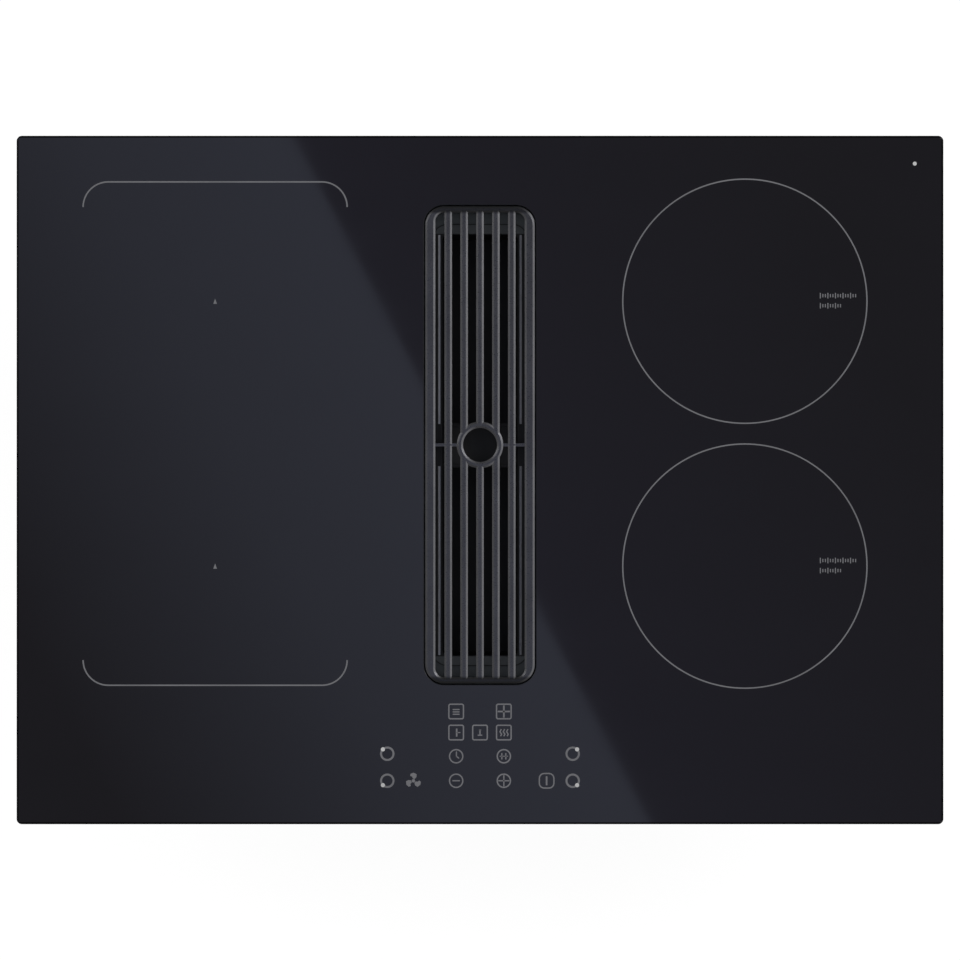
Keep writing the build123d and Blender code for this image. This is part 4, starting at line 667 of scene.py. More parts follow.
ZINC = ZincSheet("zinc_sheet", srgb(168, 171, 174), rough=0.42, metal=1.0)
# edge=1.3 sets the painted highlight on the frame's edges
FRAME_PAINT = CoatedCasting("frame_paint", srgb(46, 46, 48), rough=0.45, grain=1500.0, edge=1.3)
ALUMINIUM = BrushedSheet(
    "rolled_aluminium", srgb(200, 201, 203), rough=0.38, metal=1.0, grain=700.0
)
COPPER = WoundCopper("enamelled_copper", srgb(176, 96, 52), rough=0.4, metal=0.6, grain=700.0)
FERRITE = Finish("sintered_ferrite", srgb(52, 52, 54), rough=0.7)
MICA = Finish("pressed_mica", srgb(186, 172, 142), rough=0.6, grain=300.0, grain_depth=0.0001)
BOARD = CircuitBoard("solder_mask", srgb(22, 84, 52), rough=0.3)
MOTOR_PAINT = CoatedCasting("motor_paint", srgb(86, 88, 90), rough=0.4, metal=0.3, grain=900.0)


@dataclass(frozen=True)
class Look:
    """How a CAD node is finished, and how wide its sharp edges are rounded."""

    finish: Finish
    ease: float = 0.0


# ------------------------------------------------------------------ forms and the workshop
@dataclass
class Form:
    """A mesh under construction, in millimetres."""

    mesh: bmesh.types.BMesh = field(default_factory=bmesh.new)
    matrix: Matrix = field(default_factory=Matrix)

    def ring(self, outline: Iterable[Point], height: float) -> list[bmesh.types.BMVert]:
        """Add the points of an outline at a height of the form's own Z.

        Args:
            outline: Points in the form's own X and Y.
            height: Their own Z.

        Returns:
            The new vertices.
        """
        return [self.mesh.verts.new(self.matrix @ Vector((x, y, height)) * MM) for x, y in outline]

    def bridge(self, below: list[bmesh.types.BMVert], above: list[bmesh.types.BMVert]) -> None:
        """Close the band between two rings of as many points."""
        for index, vert in enumerate(below):
            after = (index + 1) % len(below)
            self.mesh.faces.new((vert, below[after], above[after], above[index]))

    def wrap(self, rings: list[list[bmesh.types.BMVert]]) -> None:
        """Join rings of as many points, and the last one to the first."""
        for index, ring in enumerate(rings):
            self.bridge(ring, rings[(index + 1) % len(rings)])

    def stack(self, rings: list[tuple[list[Point], float]]) -> None:
        """Join rings of as many points, one above the other, with flat ends.

        Args:
            rings: Each outline with its height.
        """
        made = [self.ring(outline, height) for outline, height in rings]
        for below, above in zip(made, made[1:]):
            self.bridge(below, above)
        self.mesh.faces.new(made[0][::-1])
        self.mesh.faces.new(made[-1])

    def band(self, outer: list[Point], inner: list[Point], low: float, high: float) -> None:
        """Add a closed band between two outlines of as many points.

        Args:
            outer: The outer outline.
            inner: The inner outline.
            low: Lower end in the form's own Z.
            high: Upper end in the form's own Z.
        """
        levels = ((outer, low), (outer, high), (inner, high), (inner, low))
        self.wrap([self.ring(outline, level) for outline, level in levels])

    def box(self, low: Triple, high: Triple) -> None:
        """Add a straight block between two corners."""
        outline = [(low[0], low[1]), (high[0], low[1]), (high[0], high[1]), (low[0], high[1])]
        self.stack([(outline, low[2]), (outline, high[2])])

    def lathe(self, profile: Iterable[Point], steps: int) -> None:
        """Turn a closed profile about the form's own Z.

        Args:
            profile: Radius and height of each corner.
            steps: How many flat sides stand for the round.
        """
        self.wrap([self.ring(circle(radius, steps), height) for radius, height in profile])

    def thread(
        self, radius: float, pitch: float, low: float, high: float, steps: int = 18
    ) -> None:
        """Add a bar whose skin follows a thread's helix.

        Args:
            radius: The thread's outside radius.
            pitch: Rise of one turn.
            low: Lower end in the form's own Z.
            high: Upper end in the form's own Z.
            steps: Sides of the bar.
        """
        rows = round((high - low) / pitch * THREAD_ROWS)
        rings = []
        for row in range(rows + 1):
            height = low + (high - low) * row / rows
            outline = []
            for step in range(steps):
                phase = (height / pitch + step / steps) % 1.0
                reach = radius - pitch * THREAD_DEPTH * abs(2 * phase - 1)
                angle = 2 * math.pi * step / steps
                outline.append((reach * math.cos(angle), reach * math.sin(angle)))
            rings.append((outline, height))
        self.stack(rings)

    def socketed(self, outer: list[Point], hole: list[Point], top: float, depth: float) -> None:
        """Add a head's end face with a shaped hole sunk into it.

        Args:
            outer: The face's outline.
            hole: The hole's outline.
            top: The face's height in the form's own Z.
            depth: The hole's depth.
        """
        edges = []
        rim = self.ring(outer, top)
        mouth = self.ring(hole, top)
        for loop in (rim, mouth):
            for index, vert in enumerate(loop):
                edges.append(self.mesh.edges.new((vert, loop[(index + 1) % len(loop)])))
        bmesh.ops.triangle_fill(self.mesh, edges=edges, use_beauty=True)
        floor = self.ring(hole, top - depth)
        self.bridge(floor, mouth)
        self.mesh.faces.new(floor)


def arc(x: float, y: float, radius: float, start: float, end: float, steps: int) -> list[Point]:
    """Give points along an arc.

    Args:
        x: The centre's X.
        y: The centre's Y.
        radius: The radius.
        start: First angle in degrees.
        end: Last angle in degrees.
        steps: How many straight steps it takes.

    Returns:
        The points, both ends included.
    """
    angles = [math.radians(start + (end - start) * index / steps) for index in range(steps + 1)]
    return [(x + radius * math.cos(angle), y + radius * math.sin(angle)) for angle in angles]


def circle(radius: float, steps: int, x: float = 0.0, y: float = 0.0) -> list[Point]:
    """Give the corners of a circle of flat sides, from its right-hand point anticlockwise."""
    return arc(x, y, radius, 0, 360, steps)[:-1]


def round_box(
    x: float, y: float, size_x: float, size_y: float, corner: float, steps: int = 4
) -> list[Point]:
    """Give the outline of a box with rounded corners.

    Args:
        x: The centre's X.
        y: The centre's Y.
        size_x: Length along X.
        size_y: Length along Y.
        corner: Radius of the corners.
        steps: Straight steps in each corner.

    Returns:
        The points, anticlockwise.
    """
    points: list[Point] = []
    for turn, (sx, sy) in enumerate(((1, 1), (-1, 1), (-1, -1), (1, -1))):
        centre = (x + sx * (size_x / 2 - corner), y + sy * (size_y / 2 - corner))
        points += arc(*centre, corner, 90 * turn, 90 * turn + 90, steps)
    return points


@dataclass
class Workshop:
    """Makes each finish once, dresses CAD nodes and turns forms into pieces of the object."""

    made: dict[str, bpy.types.Material] = field(default_factory=dict)
    dressed: set[str] = field(default_factory=set)

    def material(self, finish: Finish) -> bpy.types.Material:
        """Give a finish's material.

        Args:
            finish: The finish.

        Returns:
            Its material, made on first use.
        """
        if finish.name not in self.made:
            self.made[finish.name] = finish.build()
        return self.made[finish.name]

    def dress(self, node: str, look: Look) -> None:
        """Give a CAD node its finish and round its sharp edges.

        Args:
            node: The node's name.
            look: Its look.
        """
        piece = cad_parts[node]
        material = self.material(look.finish)
        if not piece.material_slots:
            piece.data.materials.append(material)
        for slot in piece.material_slots:
            slot.material = material
        if look.ease:
            bevel = piece.modifiers.new("eased_edges", "BEVEL")
            bevel.width = look.ease * MM
            bevel.segments = 3
            bevel.limit_method = "ANGLE"
            bevel.angle_limit = math.radians(EASED_ANGLE)
            bevel.use_clamp_overlap = True
        self.dressed.add(node)
        LOG.info("dressed %s", node)

    def piece(
        self, name: str, form: Form, finish: Finish, body: str, slot: str = "", smooth: float = 0.0
    ) -> bpy.types.Object:
        """Turn a form into a piece that rides on a body.

        Args:
            name: The piece's name.
            form: The form, which is used up.
            finish: The piece's finish.
            body: The body it rides on.
            slot: Not used.
            smooth: Faces that meet at less than this angle in degrees are shaded smooth.

        Returns:
            The new object.
        """
        mesh = form.mesh
        bmesh.ops.recalc_face_normals(mesh, faces=mesh.faces[:])
        if smooth:
            for face in mesh.faces:
                face.smooth = True
            for edge in mesh.edges:
                turn = edge.calc_face_angle(0.0)
                edge.smooth = edge.is_manifold and turn < math.radians(smooth)
        data = bpy.data.meshes.new(name)
        mesh.to_mesh(data)
        mesh.free()
        data.materials.append(self.material(finish))
        piece = bpy.data.objects.new(name, data)
        bpy.context.scene.collection.objects.link(piece)
        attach(piece, body)
        LOG.info("made %s", name)
        return piece

    def check_dressed(self) -> None:
        """Stop if a CAD node was left without a look."""
        left = sorted(set(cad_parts) - self.dressed)
        if left:
            raise ValueError(f"nodes without a look: {left}")


@dataclass
class SubAssembly:
    """A group of pieces that belong together on the real product."""

    shop: Workshop
    looks: ClassVar[dict[str, Look]] = {}

    def dress(self) -> None:
        """Dress the group's CAD nodes."""
        for node, look in self.looks.items():
            self.shop.dress(node, look)

    def build(self) -> None:
        """Make the pieces that the solids leave out, if the group has any."""


def node_box(node: str) -> tuple[Vector, Vector]:
    """Give a CAD node's lowest and highest corner in millimetres.

    Args:
        node: The node's name.

    Returns:
        The two corners.
    """
    low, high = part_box(node)
    return Vector(low) / MM, Vector(high) / MM


def turned(share: float) -> Matrix:
    """Give a turn about Z by a share of a full turn."""
    return Matrix.Rotation(2 * math.pi * share, 4, "Z")


# ------------------------------------------------------------------ printing on the glass
@dataclass
class Stroke:
    """A printed line as a flat ribbon on the glass."""

    points: list[Point]
    width: float
    closed: bool = False

    def fill(self, mesh: bmesh.types.BMesh, height: float) -> None:
        """Add the ribbon's faces to a mesh, mitred at the line's corners.

        Args:
            mesh: The mesh to add to.
            height: Height of the ribbon in metres.
        """
        points = [Vector(point) for point in self.points]
        count = len(points)
        pairs = []
        for index, point in enumerate(points):
            first, last = index == 0 and not self.closed, index == count - 1 and not self.closed
            steps = [point - points[index - 1], points[(index + 1) % count] - point]
            way_in = steps[1 if first else 0].normalized()
            way_out = steps[0 if last else 1].normalized()
            normal = Vector((-way_in.y - way_out.y, way_in.x + way_out.x)).normalized()
            mitre = max(MITRE_LIMIT, normal.dot(Vector((-way_in.y, way_in.x))))
            reach = self.width / 2 / mitre
            sides = (point + normal * reach, point - normal * reach)
            pairs.append([mesh.verts.new((side.x * MM, side.y * MM, height)) for side in sides])
        if self.closed:
            pairs.append(pairs[0])
        for (a, b), (c, d) in zip(pairs, pairs[1:]):
            mesh.faces.new((a, b, d, c))


@dataclass
class Patch:
    """A filled printed shape with a straight-sided outline."""

    points: list[Point]

    def fill(self, mesh: bmesh.types.BMesh, height: float) -> None:
        """Add the shape's face to a mesh.

        Args:
            mesh: The mesh to add to.
            height: Height of the shape in metres.
        """
        mesh.faces.new([mesh.verts.new((x * MM, y * MM, height)) for x, y in self.points])


def ring_stroke(x: float, y: float, radius: float, width: float, steps: int) -> Stroke:
    """Give a closed circular line.

    Args:
        x: The centre's X.
        y: The centre's Y.
        radius: The radius of the line's middle.
        width: The line's width.
        steps: How many straight steps it takes.

    Returns:
        The stroke.
    """
    return Stroke(circle(radius, steps, x, y), width, closed=True)


class Symbol(Enum):
    """What a touch key is marked with."""

    BRIDGE_ZONE = "bridge_zone"
    FOUR_ZONES = "four_zones"
    WARM_LEVEL = "warm_level"
    MELT_LEVEL = "melt_level"
    BOIL_LEVEL = "boil_level"
    TIMER = "timer"
    PAUSE = "pause"
    LESS = "less"
    MORE = "more"
    ZONE = "zone"
    EXTRACTOR = "extractor"
    POWER = "power"


# Each symbol's short straight lines inside its key: start, end, line width.
Bar = tuple[float, float, float, float, float]
KEY_BARS: dict[Symbol, list[Bar]] = {
    Symbol.BRIDGE_ZONE: [(-2.6, y, 2.6, y, 0.9) for y in (1.5, -0.3, -2.1)],
    Symbol.FOUR_ZONES: [(-4.6, 0, 4.6, 0, 1.2), (0, -4.6, 0, 4.6, 1.2)],
    Symbol.WARM_LEVEL: [(0.4, -3, 0.4, 3, 1.2), (0.4, 0, 3.2, 0, 0.7)],
    Symbol.MELT_LEVEL: [
        (-0.8, 1.9, 0.9, 1.9, 0.7),
        (0, -1.6, 0, 1.9, 1.0),
        (-1.7, -2, 1.7, -2, 0.9),
    ],
    Symbol.TIMER: [(0.2, 0, 0.2, 3.6, 0.9), (0.2, 0, 2.2, -1.6, 0.9)],
    Symbol.PAUSE: [
        (-1.5, -2.4, -1.5, 2.4, 0.9),
        (1.5, -2.4, 1.5, 2.4, 0.9),
        (-3.2, 0, 3.2, 0, 0.6),
    ],
    Symbol.LESS: [(-2.9, 0, 2.9, 0, 0.9)],
    Symbol.MORE: [(-4.2, 0, 4.2, 0, 0.9), (0, -4.2, 0, 4.2, 0.9)],
    Symbol.POWER: [(0, -3.4, 0, 3.4, 1.3)],
}
SQUARE_KEYS = {
    Symbol.BRIDGE_ZONE,
    Symbol.FOUR_ZONES,
    Symbol.WARM_LEVEL,
    Symbol.MELT_LEVEL,
    Symbol.BOIL_LEVEL,
}
# One wave of the boiling level, from its foot up; and one fan blade as radius and angle.
WAVE: list[Point] = [(0.0, -2.8), (0.8, -1.2), (-0.4, 0.6), (0.6, 2.6)]
BLADE: list[Point] = [
    *((1.7, -34), (3.6, -40), (5.6, -26), (6.1, 0)),
    *((5.7, 22), (4.4, 34), (3.4, 18), (1.7, 12)),
]
BLADE_TURNS = (90, 210, 330)


@dataclass
class TouchKey:
    """One touch key's printed mark."""

    name: str
    symbol: Symbol
    x: float
    y: float
    dot: tuple[int, int] = (0, 0)
    size: float = 11.0
    line: float = 1.0
    square_corner: float = 1.2
    power_corner: float = 3.6
    zone_inset: float = 0.8
    zone_line: float = 1.5
    ring_steps: int = 32
    wave_pitch: float = 2.5
    wave_line: float = 0.9
    hub_radius: float = 1.3
    dot_radius: float = 1.6

    def outline(self) -> Stroke:
        """Give the key's outline.

        Returns:
            A square for a function, a softer one for power, a ring for the rest.
        """
        if self.symbol in SQUARE_KEYS or self.symbol is Symbol.POWER:
            corner = self.power_corner if self.symbol is Symbol.POWER else self.square_corner
            shape = round_box(self.x, self.y, self.size, self.size, corner)
            return Stroke(shape, self.line, closed=True)
        inset, line = self.line / 2, self.line
        if self.symbol is Symbol.ZONE:
            inset, line = self.zone_inset, self.zone_line
        return ring_stroke(self.x, self.y, self.size / 2 - inset, line, self.ring_steps)

    def waves(self) -> list[Stroke]:
        """Give the three rising waves of the boiling level."""
        middles = [self.x + index * self.wave_pitch for index in (-1, 0, 1)]
        shapes = [[(x + dx, self.y + dy) for dx, dy in WAVE] for x in middles]
        return [Stroke(shape, self.wave_line) for shape in shapes]

    def petals(self) -> list[Stroke | Patch]:
        """Give the extractor's mark: three swept fan blades about a hub, in place of an outline."""
        marks: list[Stroke | Patch] = [Patch(circle(self.hub_radius, 20, self.x, self.y))]
        for turn in BLADE_TURNS:
            polar = [(radius, math.radians(turn + angle)) for radius, angle in BLADE]
            shape = [(self.x + r * math.cos(a), self.y + r * math.sin(a)) for r, a in polar]
            marks.append(Patch(shape))
        return marks

    def marks(self) -> list[Stroke | Patch]:
        """List the strokes and patches of the key's symbol.

        Returns:
            The marks, outline first.
        """
        if self.symbol is Symbol.EXTRACTOR:
            return self.petals()
        marks: list[Stroke | Patch] = [self.outline()]
        if self.symbol is Symbol.BOIL_LEVEL:
            marks += self.waves()
        for x0, y0, x1, y1, width in KEY_BARS.get(self.symbol, []):
            marks.append(Stroke([(self.x + x0, self.y + y0), (self.x + x1, self.y + y1)], width))
        return marks

    def lamp(self) -> Patch | None:
        """Give the bright dot that merges with a zone key's outer corner.

        Returns:
            The dot, or None where the key has none.
        """
        if self.dot == (0, 0):
            return None
        reach = (self.size / 2 - self.zone_inset) * math.sqrt(0.5)
        x, y = self.x + self.dot[0] * reach, self.y + self.dot[1] * reach
        return Patch(circle(self.dot_radius, 12, x, y))


@dataclass
class GlassPrint(SubAssembly):
    """Everything printed on the glass: zones, keys, the corner dot and the plain tick rows."""

    lift: float = 0.04
    zone_x: float = 200.0
    zone_ys: tuple[float, float] = (135.0, -65.0)
    ring_radius: float = 92.2
    ring_line: float = 1.0
    ring_steps: int = 160
    flex_half: float = 99.7
    flex_top: float = 225.1
    flex_bottom: float = -155.0
    flex_corner: float = 19.0
    flex_line: float = 1.1
    mark_width: float = 2.8
    mark_height: float = 4.0
    corner_dot: Point = (328.3, 238.9)
    corner_dot_radius: float = 1.5
    tick_start: float = 57.0
    tick_rise: float = 4.2
    tick_rows: tuple[float, float] = (30.0, 18.0)
    tick_gap: float = 7.6
    tick_height: float = 4.2
    tick_pitch: float = 1.9
    tick_line: float = 0.8
    tick_short: float = 0.6
    tick_group: int = 3
    column: float = 18.0
    rows: tuple[float, float, float, float] = (-174.8, -190.7, -208.6, -227.1)
    zone_key_x: float = 70.0
    zone_key_rear: float = -206.7
    power_x: float = 50.3

    def place(
        self, name: str, marks: Iterable[Stroke | Patch], finish: Finish = PRINT, layer: int = 1
    ) -> None:
        """Make one printed piece and lay it on the glass.

        Args:
            name: The piece's name.
            marks: What it is made of.
            finish: Its finish.
            layer: Which coat of ink it is, counted from the glass.
        """
        form = Form()
        for mark in marks:
            mark.fill(form.mesh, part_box("glass_top")[1][2] + layer * self.lift * MM)
        piece = self.shop.piece(name, form, finish, HOB)
        if piece.data.polygons[0].normal.z < 0:
            piece.data.flip_normals()

    def flex_zone(self) -> None:
        """Print the joined zone on the left: a bracket above, one below, and two pot marks."""
        x, half, corner = -self.zone_x, self.flex_half, self.flex_corner
        for place, line_y, sign in zip(PLACES, (self.flex_top, self.flex_bottom), (1, -1)):
            centre_y = line_y - sign * corner
            left = arc(x - half + corner, centre_y, corner, 180, 180 - sign * 90, steps=14)
            right = arc(x + half - corner, centre_y, corner, sign * 90, 0, steps=14)
            self.place(f"print_bracket_{place}", [Stroke(left + right, self.flex_line)])
        for place, y in zip(PLACES, self.zone_ys):
            half_w, half_h = self.mark_width / 2, self.mark_height / 2
            points = [(x - half_w, y - half_h), (x + half_w, y - half_h), (x, y + half_h)]
            self.place(f"print_pot_mark_{place}", [Patch(points)])

    def ticks(self, y: float) -> list[Stroke]:
        """Give two plain rows of ticks inside a ring, where the lettering is left out.

        Args:
            y: The ring's centre.

        Returns:
            The ticks.
        """
        marks = []
        for row, length in enumerate(self.tick_rows):
            middle = y + self.tick_rise - row * self.tick_gap
            for index in range(int(length / self.tick_pitch)):
                x = self.zone_x + self.tick_start + index * self.tick_pitch
                share = self.tick_short if index % self.tick_group else 1.0
                half = self.tick_height / 2 * share
                marks.append(Stroke([(x, middle - half), (x, middle + half)], self.tick_line))
        return marks

    def keys(self) -> list[TouchKey]:
        """List the touch keys.

        Returns:
            The keys, from the top row down.
        """
        top, level, timer, front = self.rows
        column, zone, rear = self.column, self.zone_key_x, self.zone_key_rear
        return [
            TouchKey("bridge", Symbol.BRIDGE_ZONE, -column, top),
            TouchKey("four_zones", Symbol.FOUR_ZONES, column, top),
            TouchKey("warm", Symbol.WARM_LEVEL, -column, level),
            TouchKey("melt", Symbol.MELT_LEVEL, 0.0, level),
            TouchKey("boil", Symbol.BOIL_LEVEL, column, level),
            TouchKey("timer", Symbol.TIMER, -column, timer),
            TouchKey("pause", Symbol.PAUSE, column, timer),
            TouchKey("less", Symbol.LESS, -column, front),
            TouchKey("more", Symbol.MORE, column, front),
            TouchKey("extractor", Symbol.EXTRACTOR, -self.power_x, front),
            TouchKey("power", Symbol.POWER, self.power_x, front),
            TouchKey("zone_rear_left", Symbol.ZONE, -zone, rear, (-1, 1)),
            TouchKey("zone_front_left", Symbol.ZONE, -zone, front, (-1, -1)),
            TouchKey("zone_rear_right", Symbol.ZONE, zone, rear, (1, 1)),
            TouchKey("zone_front_right", Symbol.ZONE, zone, front, (1, -1)),
        ]

    def build(self) -> None:
        """Print the whole glass."""
        for place, y in zip(PLACES, self.zone_ys):
            ring = ring_stroke(self.zone_x, y, self.ring_radius, self.ring_line, self.ring_steps)
            self.place(f"print_ring_{place}", [ring])
            self.place(f"print_ticks_{place}", self.ticks(y))
        self.flex_zone()
        dot = Patch(circle(self.corner_dot_radius, 24, *self.corner_dot))
        self.place("print_corner_dot", [dot], PRINT_BRIGHT)
        for key in self.keys():
            self.place(f"print_key_{key.name}", key.marks())
            lamp = key.lamp()
            if lamp is not None:
                self.place(f"print_lamp_{key.name}", [lamp], PRINT_BRIGHT, layer=2)


# ------------------------------------------------------------------ sub-assemblies
@dataclass
class GlassPlate(SubAssembly):
    """The glass, its seal and the frame glued under it."""

    looks: ClassVar[dict[str, Look]] = {
        "glass_top": Look(GLASS, 0.25),
        "worktop_seal": Look(FOAM, 0.3),
        "glass_frame": Look(FRAME_PAINT, 0.2),
    }


@dataclass
class IntakeWell(SubAssembly):
    """The collar that lines the intake and the gasket under it."""

    looks: ClassVar[dict[str, Look]] = {
        "inlet_collar": Look(COLLAR_MOULD, 0.3),
        "intake_gasket": Look(FOAM),
    }


@dataclass
class IntakeGrille(SubAssembly):
    """The cast grille and its pads."""

    looks: ClassVar[dict[str, Look]] = {
        "grille": Look(GRILLE_COAT, 0.45),
        "grille_pads": Look(RUBBER, 0.2),
    }


@dataclass
class GreaseCassette(SubAssembly):
    """The lift-out grease filter: expanded metal behind its slots and a bead along its rim."""

    slots: int = 9
    slot_pitch: float = 34.6
    slot_width: float = 20.0
    slot_low: float = -72.0
    slot_high: float = -27.3
    inset: float = 1.2
    cell_width: float = 5.0
    cell_height: float = 3.2
    strand: float = 0.24
    strand_depth: float = 0.5
    bead_x: float = 30.9
    bead_width: float = 1.6
    bead_height: float = 1.2
    bead_slope: float = 0.34
    bead_crest: float = 0.1
    bead_end: float = 8.4
    bead_gap: float = 16.0
    cap_inset: float = 0.8
    cap_corner: float = 11.8
    cap_width: float = 6.6
    cap_height: float = 0.2

    rim_root: float = 0.1
    looks: ClassVar[dict[str, Look]] = {
        "filter_frame": Look(CASSETTE_COAT_AND_SHADE, 0.25),
        "filter_mesh": Look(CASSETTE_COAT_AND_SHADE, 0.25),
        "filter_handle": Look(HANDLE_MOULD, 0.4),
    }

    def lattice(self, form: Form, middle: float) -> None:
        """Fill one slot with the diamonds of expanded metal.

        Args:
            form: The form to add to, whose own X is the slot's width.
            middle: The slot's middle in the form's own X.
        """
        rows = int((self.slot_high - self.slot_low) / self.cell_height * 2) + 1
        columns = int(self.slot_width / self.cell_width) + 1
        half_w, half_h = self.cell_width / 2, self.cell_height / 2
        outline = [(half_w, 0.0), (0.0, half_h), (-half_w, 0.0), (0.0, -half_h)]
        keep = 1 - 2 * self.strand
        for row in range(rows):
            z = self.slot_low + row * half_h
            for column in range(columns):
                x = middle - self.slot_width / 2 + (column + 0.5 * (row % 2)) * self.cell_width
                outer = [(x + dx, z + dy) for dx, dy in outline]
                inner = [(x + dx * keep, z + dy * keep) for dx, dy in outline]
                form.band(outer, inner, -self.strand_depth / 2, self.strand_depth / 2)

    def build(self) -> None:
        """Fill both long sides with mesh, and lay the beads and end plates on the rim."""
        low, high = node_box("filter_mesh")
        centre_y = (low.y + high.y) / 2
        for side, name in zip((-1, 1), HANDS):
            plane = ((0, 0, side), (1, 0, 0), (0, 1, 0))
            place = Matrix.Translation((side * (high.x - self.inset), centre_y, 0))
            form = Form(matrix=place @ Matrix(plane).to_4x4())
            for index in range(self.slots):
                self.lattice(form, (index - (self.slots - 1) / 2) * self.slot_pitch)
            self.shop.piece(f"filter_expanded_{name}", form, STEEL, "filter", "painted_steel")
        rim_low, rim_high = node_box("filter_frame")
        foot_z, crown_z = rim_high.z - self.rim_root, rim_high.z + self.bead_height
        stretches = (
            (rim_low.y + self.bead_end, centre_y - self.bead_gap),
            (centre_y + self.bead_gap, rim_high.y - self.bead_end),
        )
        inner = self.bead_x - self.bead_width / 2
        widths = (self.bead_width, self.bead_width * self.bead_crest)
        beads = Form()
        for side in (-1, 1):
            for start, end in stretches:
                foot, crown = [
                    [(a, start), (b, start), (b, end), (a, end)]
                    for a, b in ((side * inner, side * (inner + width)) for width in widths)
                ]
                beads.stack([(foot, foot_z), (foot, crown_z - self.bead_slope), (crown, crown_z)])
        self.shop.piece("filter_rim_beads", beads, RIM_STEEL, "filter", "painted_steel")
        self.caps(rim_low, rim_high)

    def caps(self, low: Vector, high: Vector) -> None:
        """Lay a thin satin plate on the rim at each end.

        Args:
            low: The lower corner of the cassette's frame.
            high: Its upper corner.
        """
        form = Form()
        middle = (low.y + high.y) / 2
        corner_x, corner_y = high.x - self.cap_corner, high.y - middle - self.cap_corner
        radius = self.cap_corner - self.cap_inset
        start = math.degrees(math.asin((radius - self.cap_width) / radius))
        right = arc(corner_x, corner_y, radius, start, 90, steps=6)
        outline = right + [(-x, y) for x, y in reversed(right)]
        for end in (-1, 1):
            placed = [(end * x, middle + end * y) for x, y in outline]
            form.stack([(placed, high.z - self.rim_root), (placed, high.z + self.cap_height)])
        self.shop.piece("filter_end_caps", form, CAP_COAT, "filter", "painted_steel")


@dataclass
class DripTray(SubAssembly):
    """The tray under the filter that catches what runs off."""

    looks: ClassVar[dict[str, Look]] = {"drip_tray": Look(BLACK_MOULD, 0.4)}


@dataclass
class CoilZones(SubAssembly):
    """The four coils with their carriers, ferrites, sensors and the sheets that bear them."""

    looks: ClassVar[dict[str, Look]] = {
        "ferrite_bars": Look(FERRITE, 0.2),
        "zone_sensors": Look(WHITE_MOULD, 0.2),
        **{f"coil_{corner}": Look(COPPER, 0.3) for corner in CORNERS},
        **{f"coil_carrier_{corner}": Look(WHITE_MOULD, 0.3) for corner in CORNERS},
        **{f"insulation_sheet_{hand}": Look(MICA) for hand in HANDS},
        **{f"coil_bridge_{hand}": Look(ALUMINIUM, 0.2) for hand in HANDS},
    }


@dataclass
class ElectronicsPan(SubAssembly):
    """The zinc pan with its boards and fans, and the beads pressed into its floor."""

    bead_first: float = -274.0
    bead_pitch: float = 32.0
    bead_count: int = 7
    bead_front: float = -212.0
    bead_rear: float = 92.0
    bead_width: float = 11.0
    bead_slope: float = 2.4
    bead_depth: float = 0.8
    bead_root: float = 0.1
    looks: ClassVar[dict[str, Look]] = {
        "base_pan": Look(ZINC, 0.2),
        "mains_board": Look(BOARD, 0.2),
        **{f"power_board_{hand}": Look(BOARD, 0.2) for hand in HANDS},
        **{f"heat_sink_{hand}": Look(ALUMINIUM, 0.2) for hand in HANDS},
        **{f"fan_housing_{hand}": Look(BLACK_MOULD, 0.3) for hand in HANDS},
        **{f"fan_rotor_{hand}": Look(BLACK_MOULD, 0.2) for hand in HANDS},
    }

    def build(self) -> None:
        """Press the long beads into the underside of the pan's left half."""
        low, _ = node_box("base_pan")
        form = Form()
        length, middle = self.bead_rear - self.bead_front, (self.bead_rear + self.bead_front) / 2
        for index in range(self.bead_count):
            x = self.bead_first + index * self.bead_pitch
            foot, crown = [
                round_box(x, middle, width, length - self.bead_width + width, width / 2, steps=6)
                for width in (self.bead_width, self.bead_width - 2 * self.bead_slope)
            ]
            levels = (low.z + self.bead_root, low.z, low.z - self.bead_depth)
            form.stack(list(zip((foot, foot, crown), levels)))
        self.shop.piece("pan_pressed_beads", form, ZINC, HOB, "galvanised", smooth=40.0)


@dataclass
class TouchControl(SubAssembly):
    """The touch board with its pads and tray."""

    looks: ClassVar[dict[str, Look]] = {
        "touch_board": Look(BOARD, 0.2),
        "touch_pads": Look(RUBBER, 0.2),
        "touch_tray": Look(WHITE_MOULD, 0.3),
    }


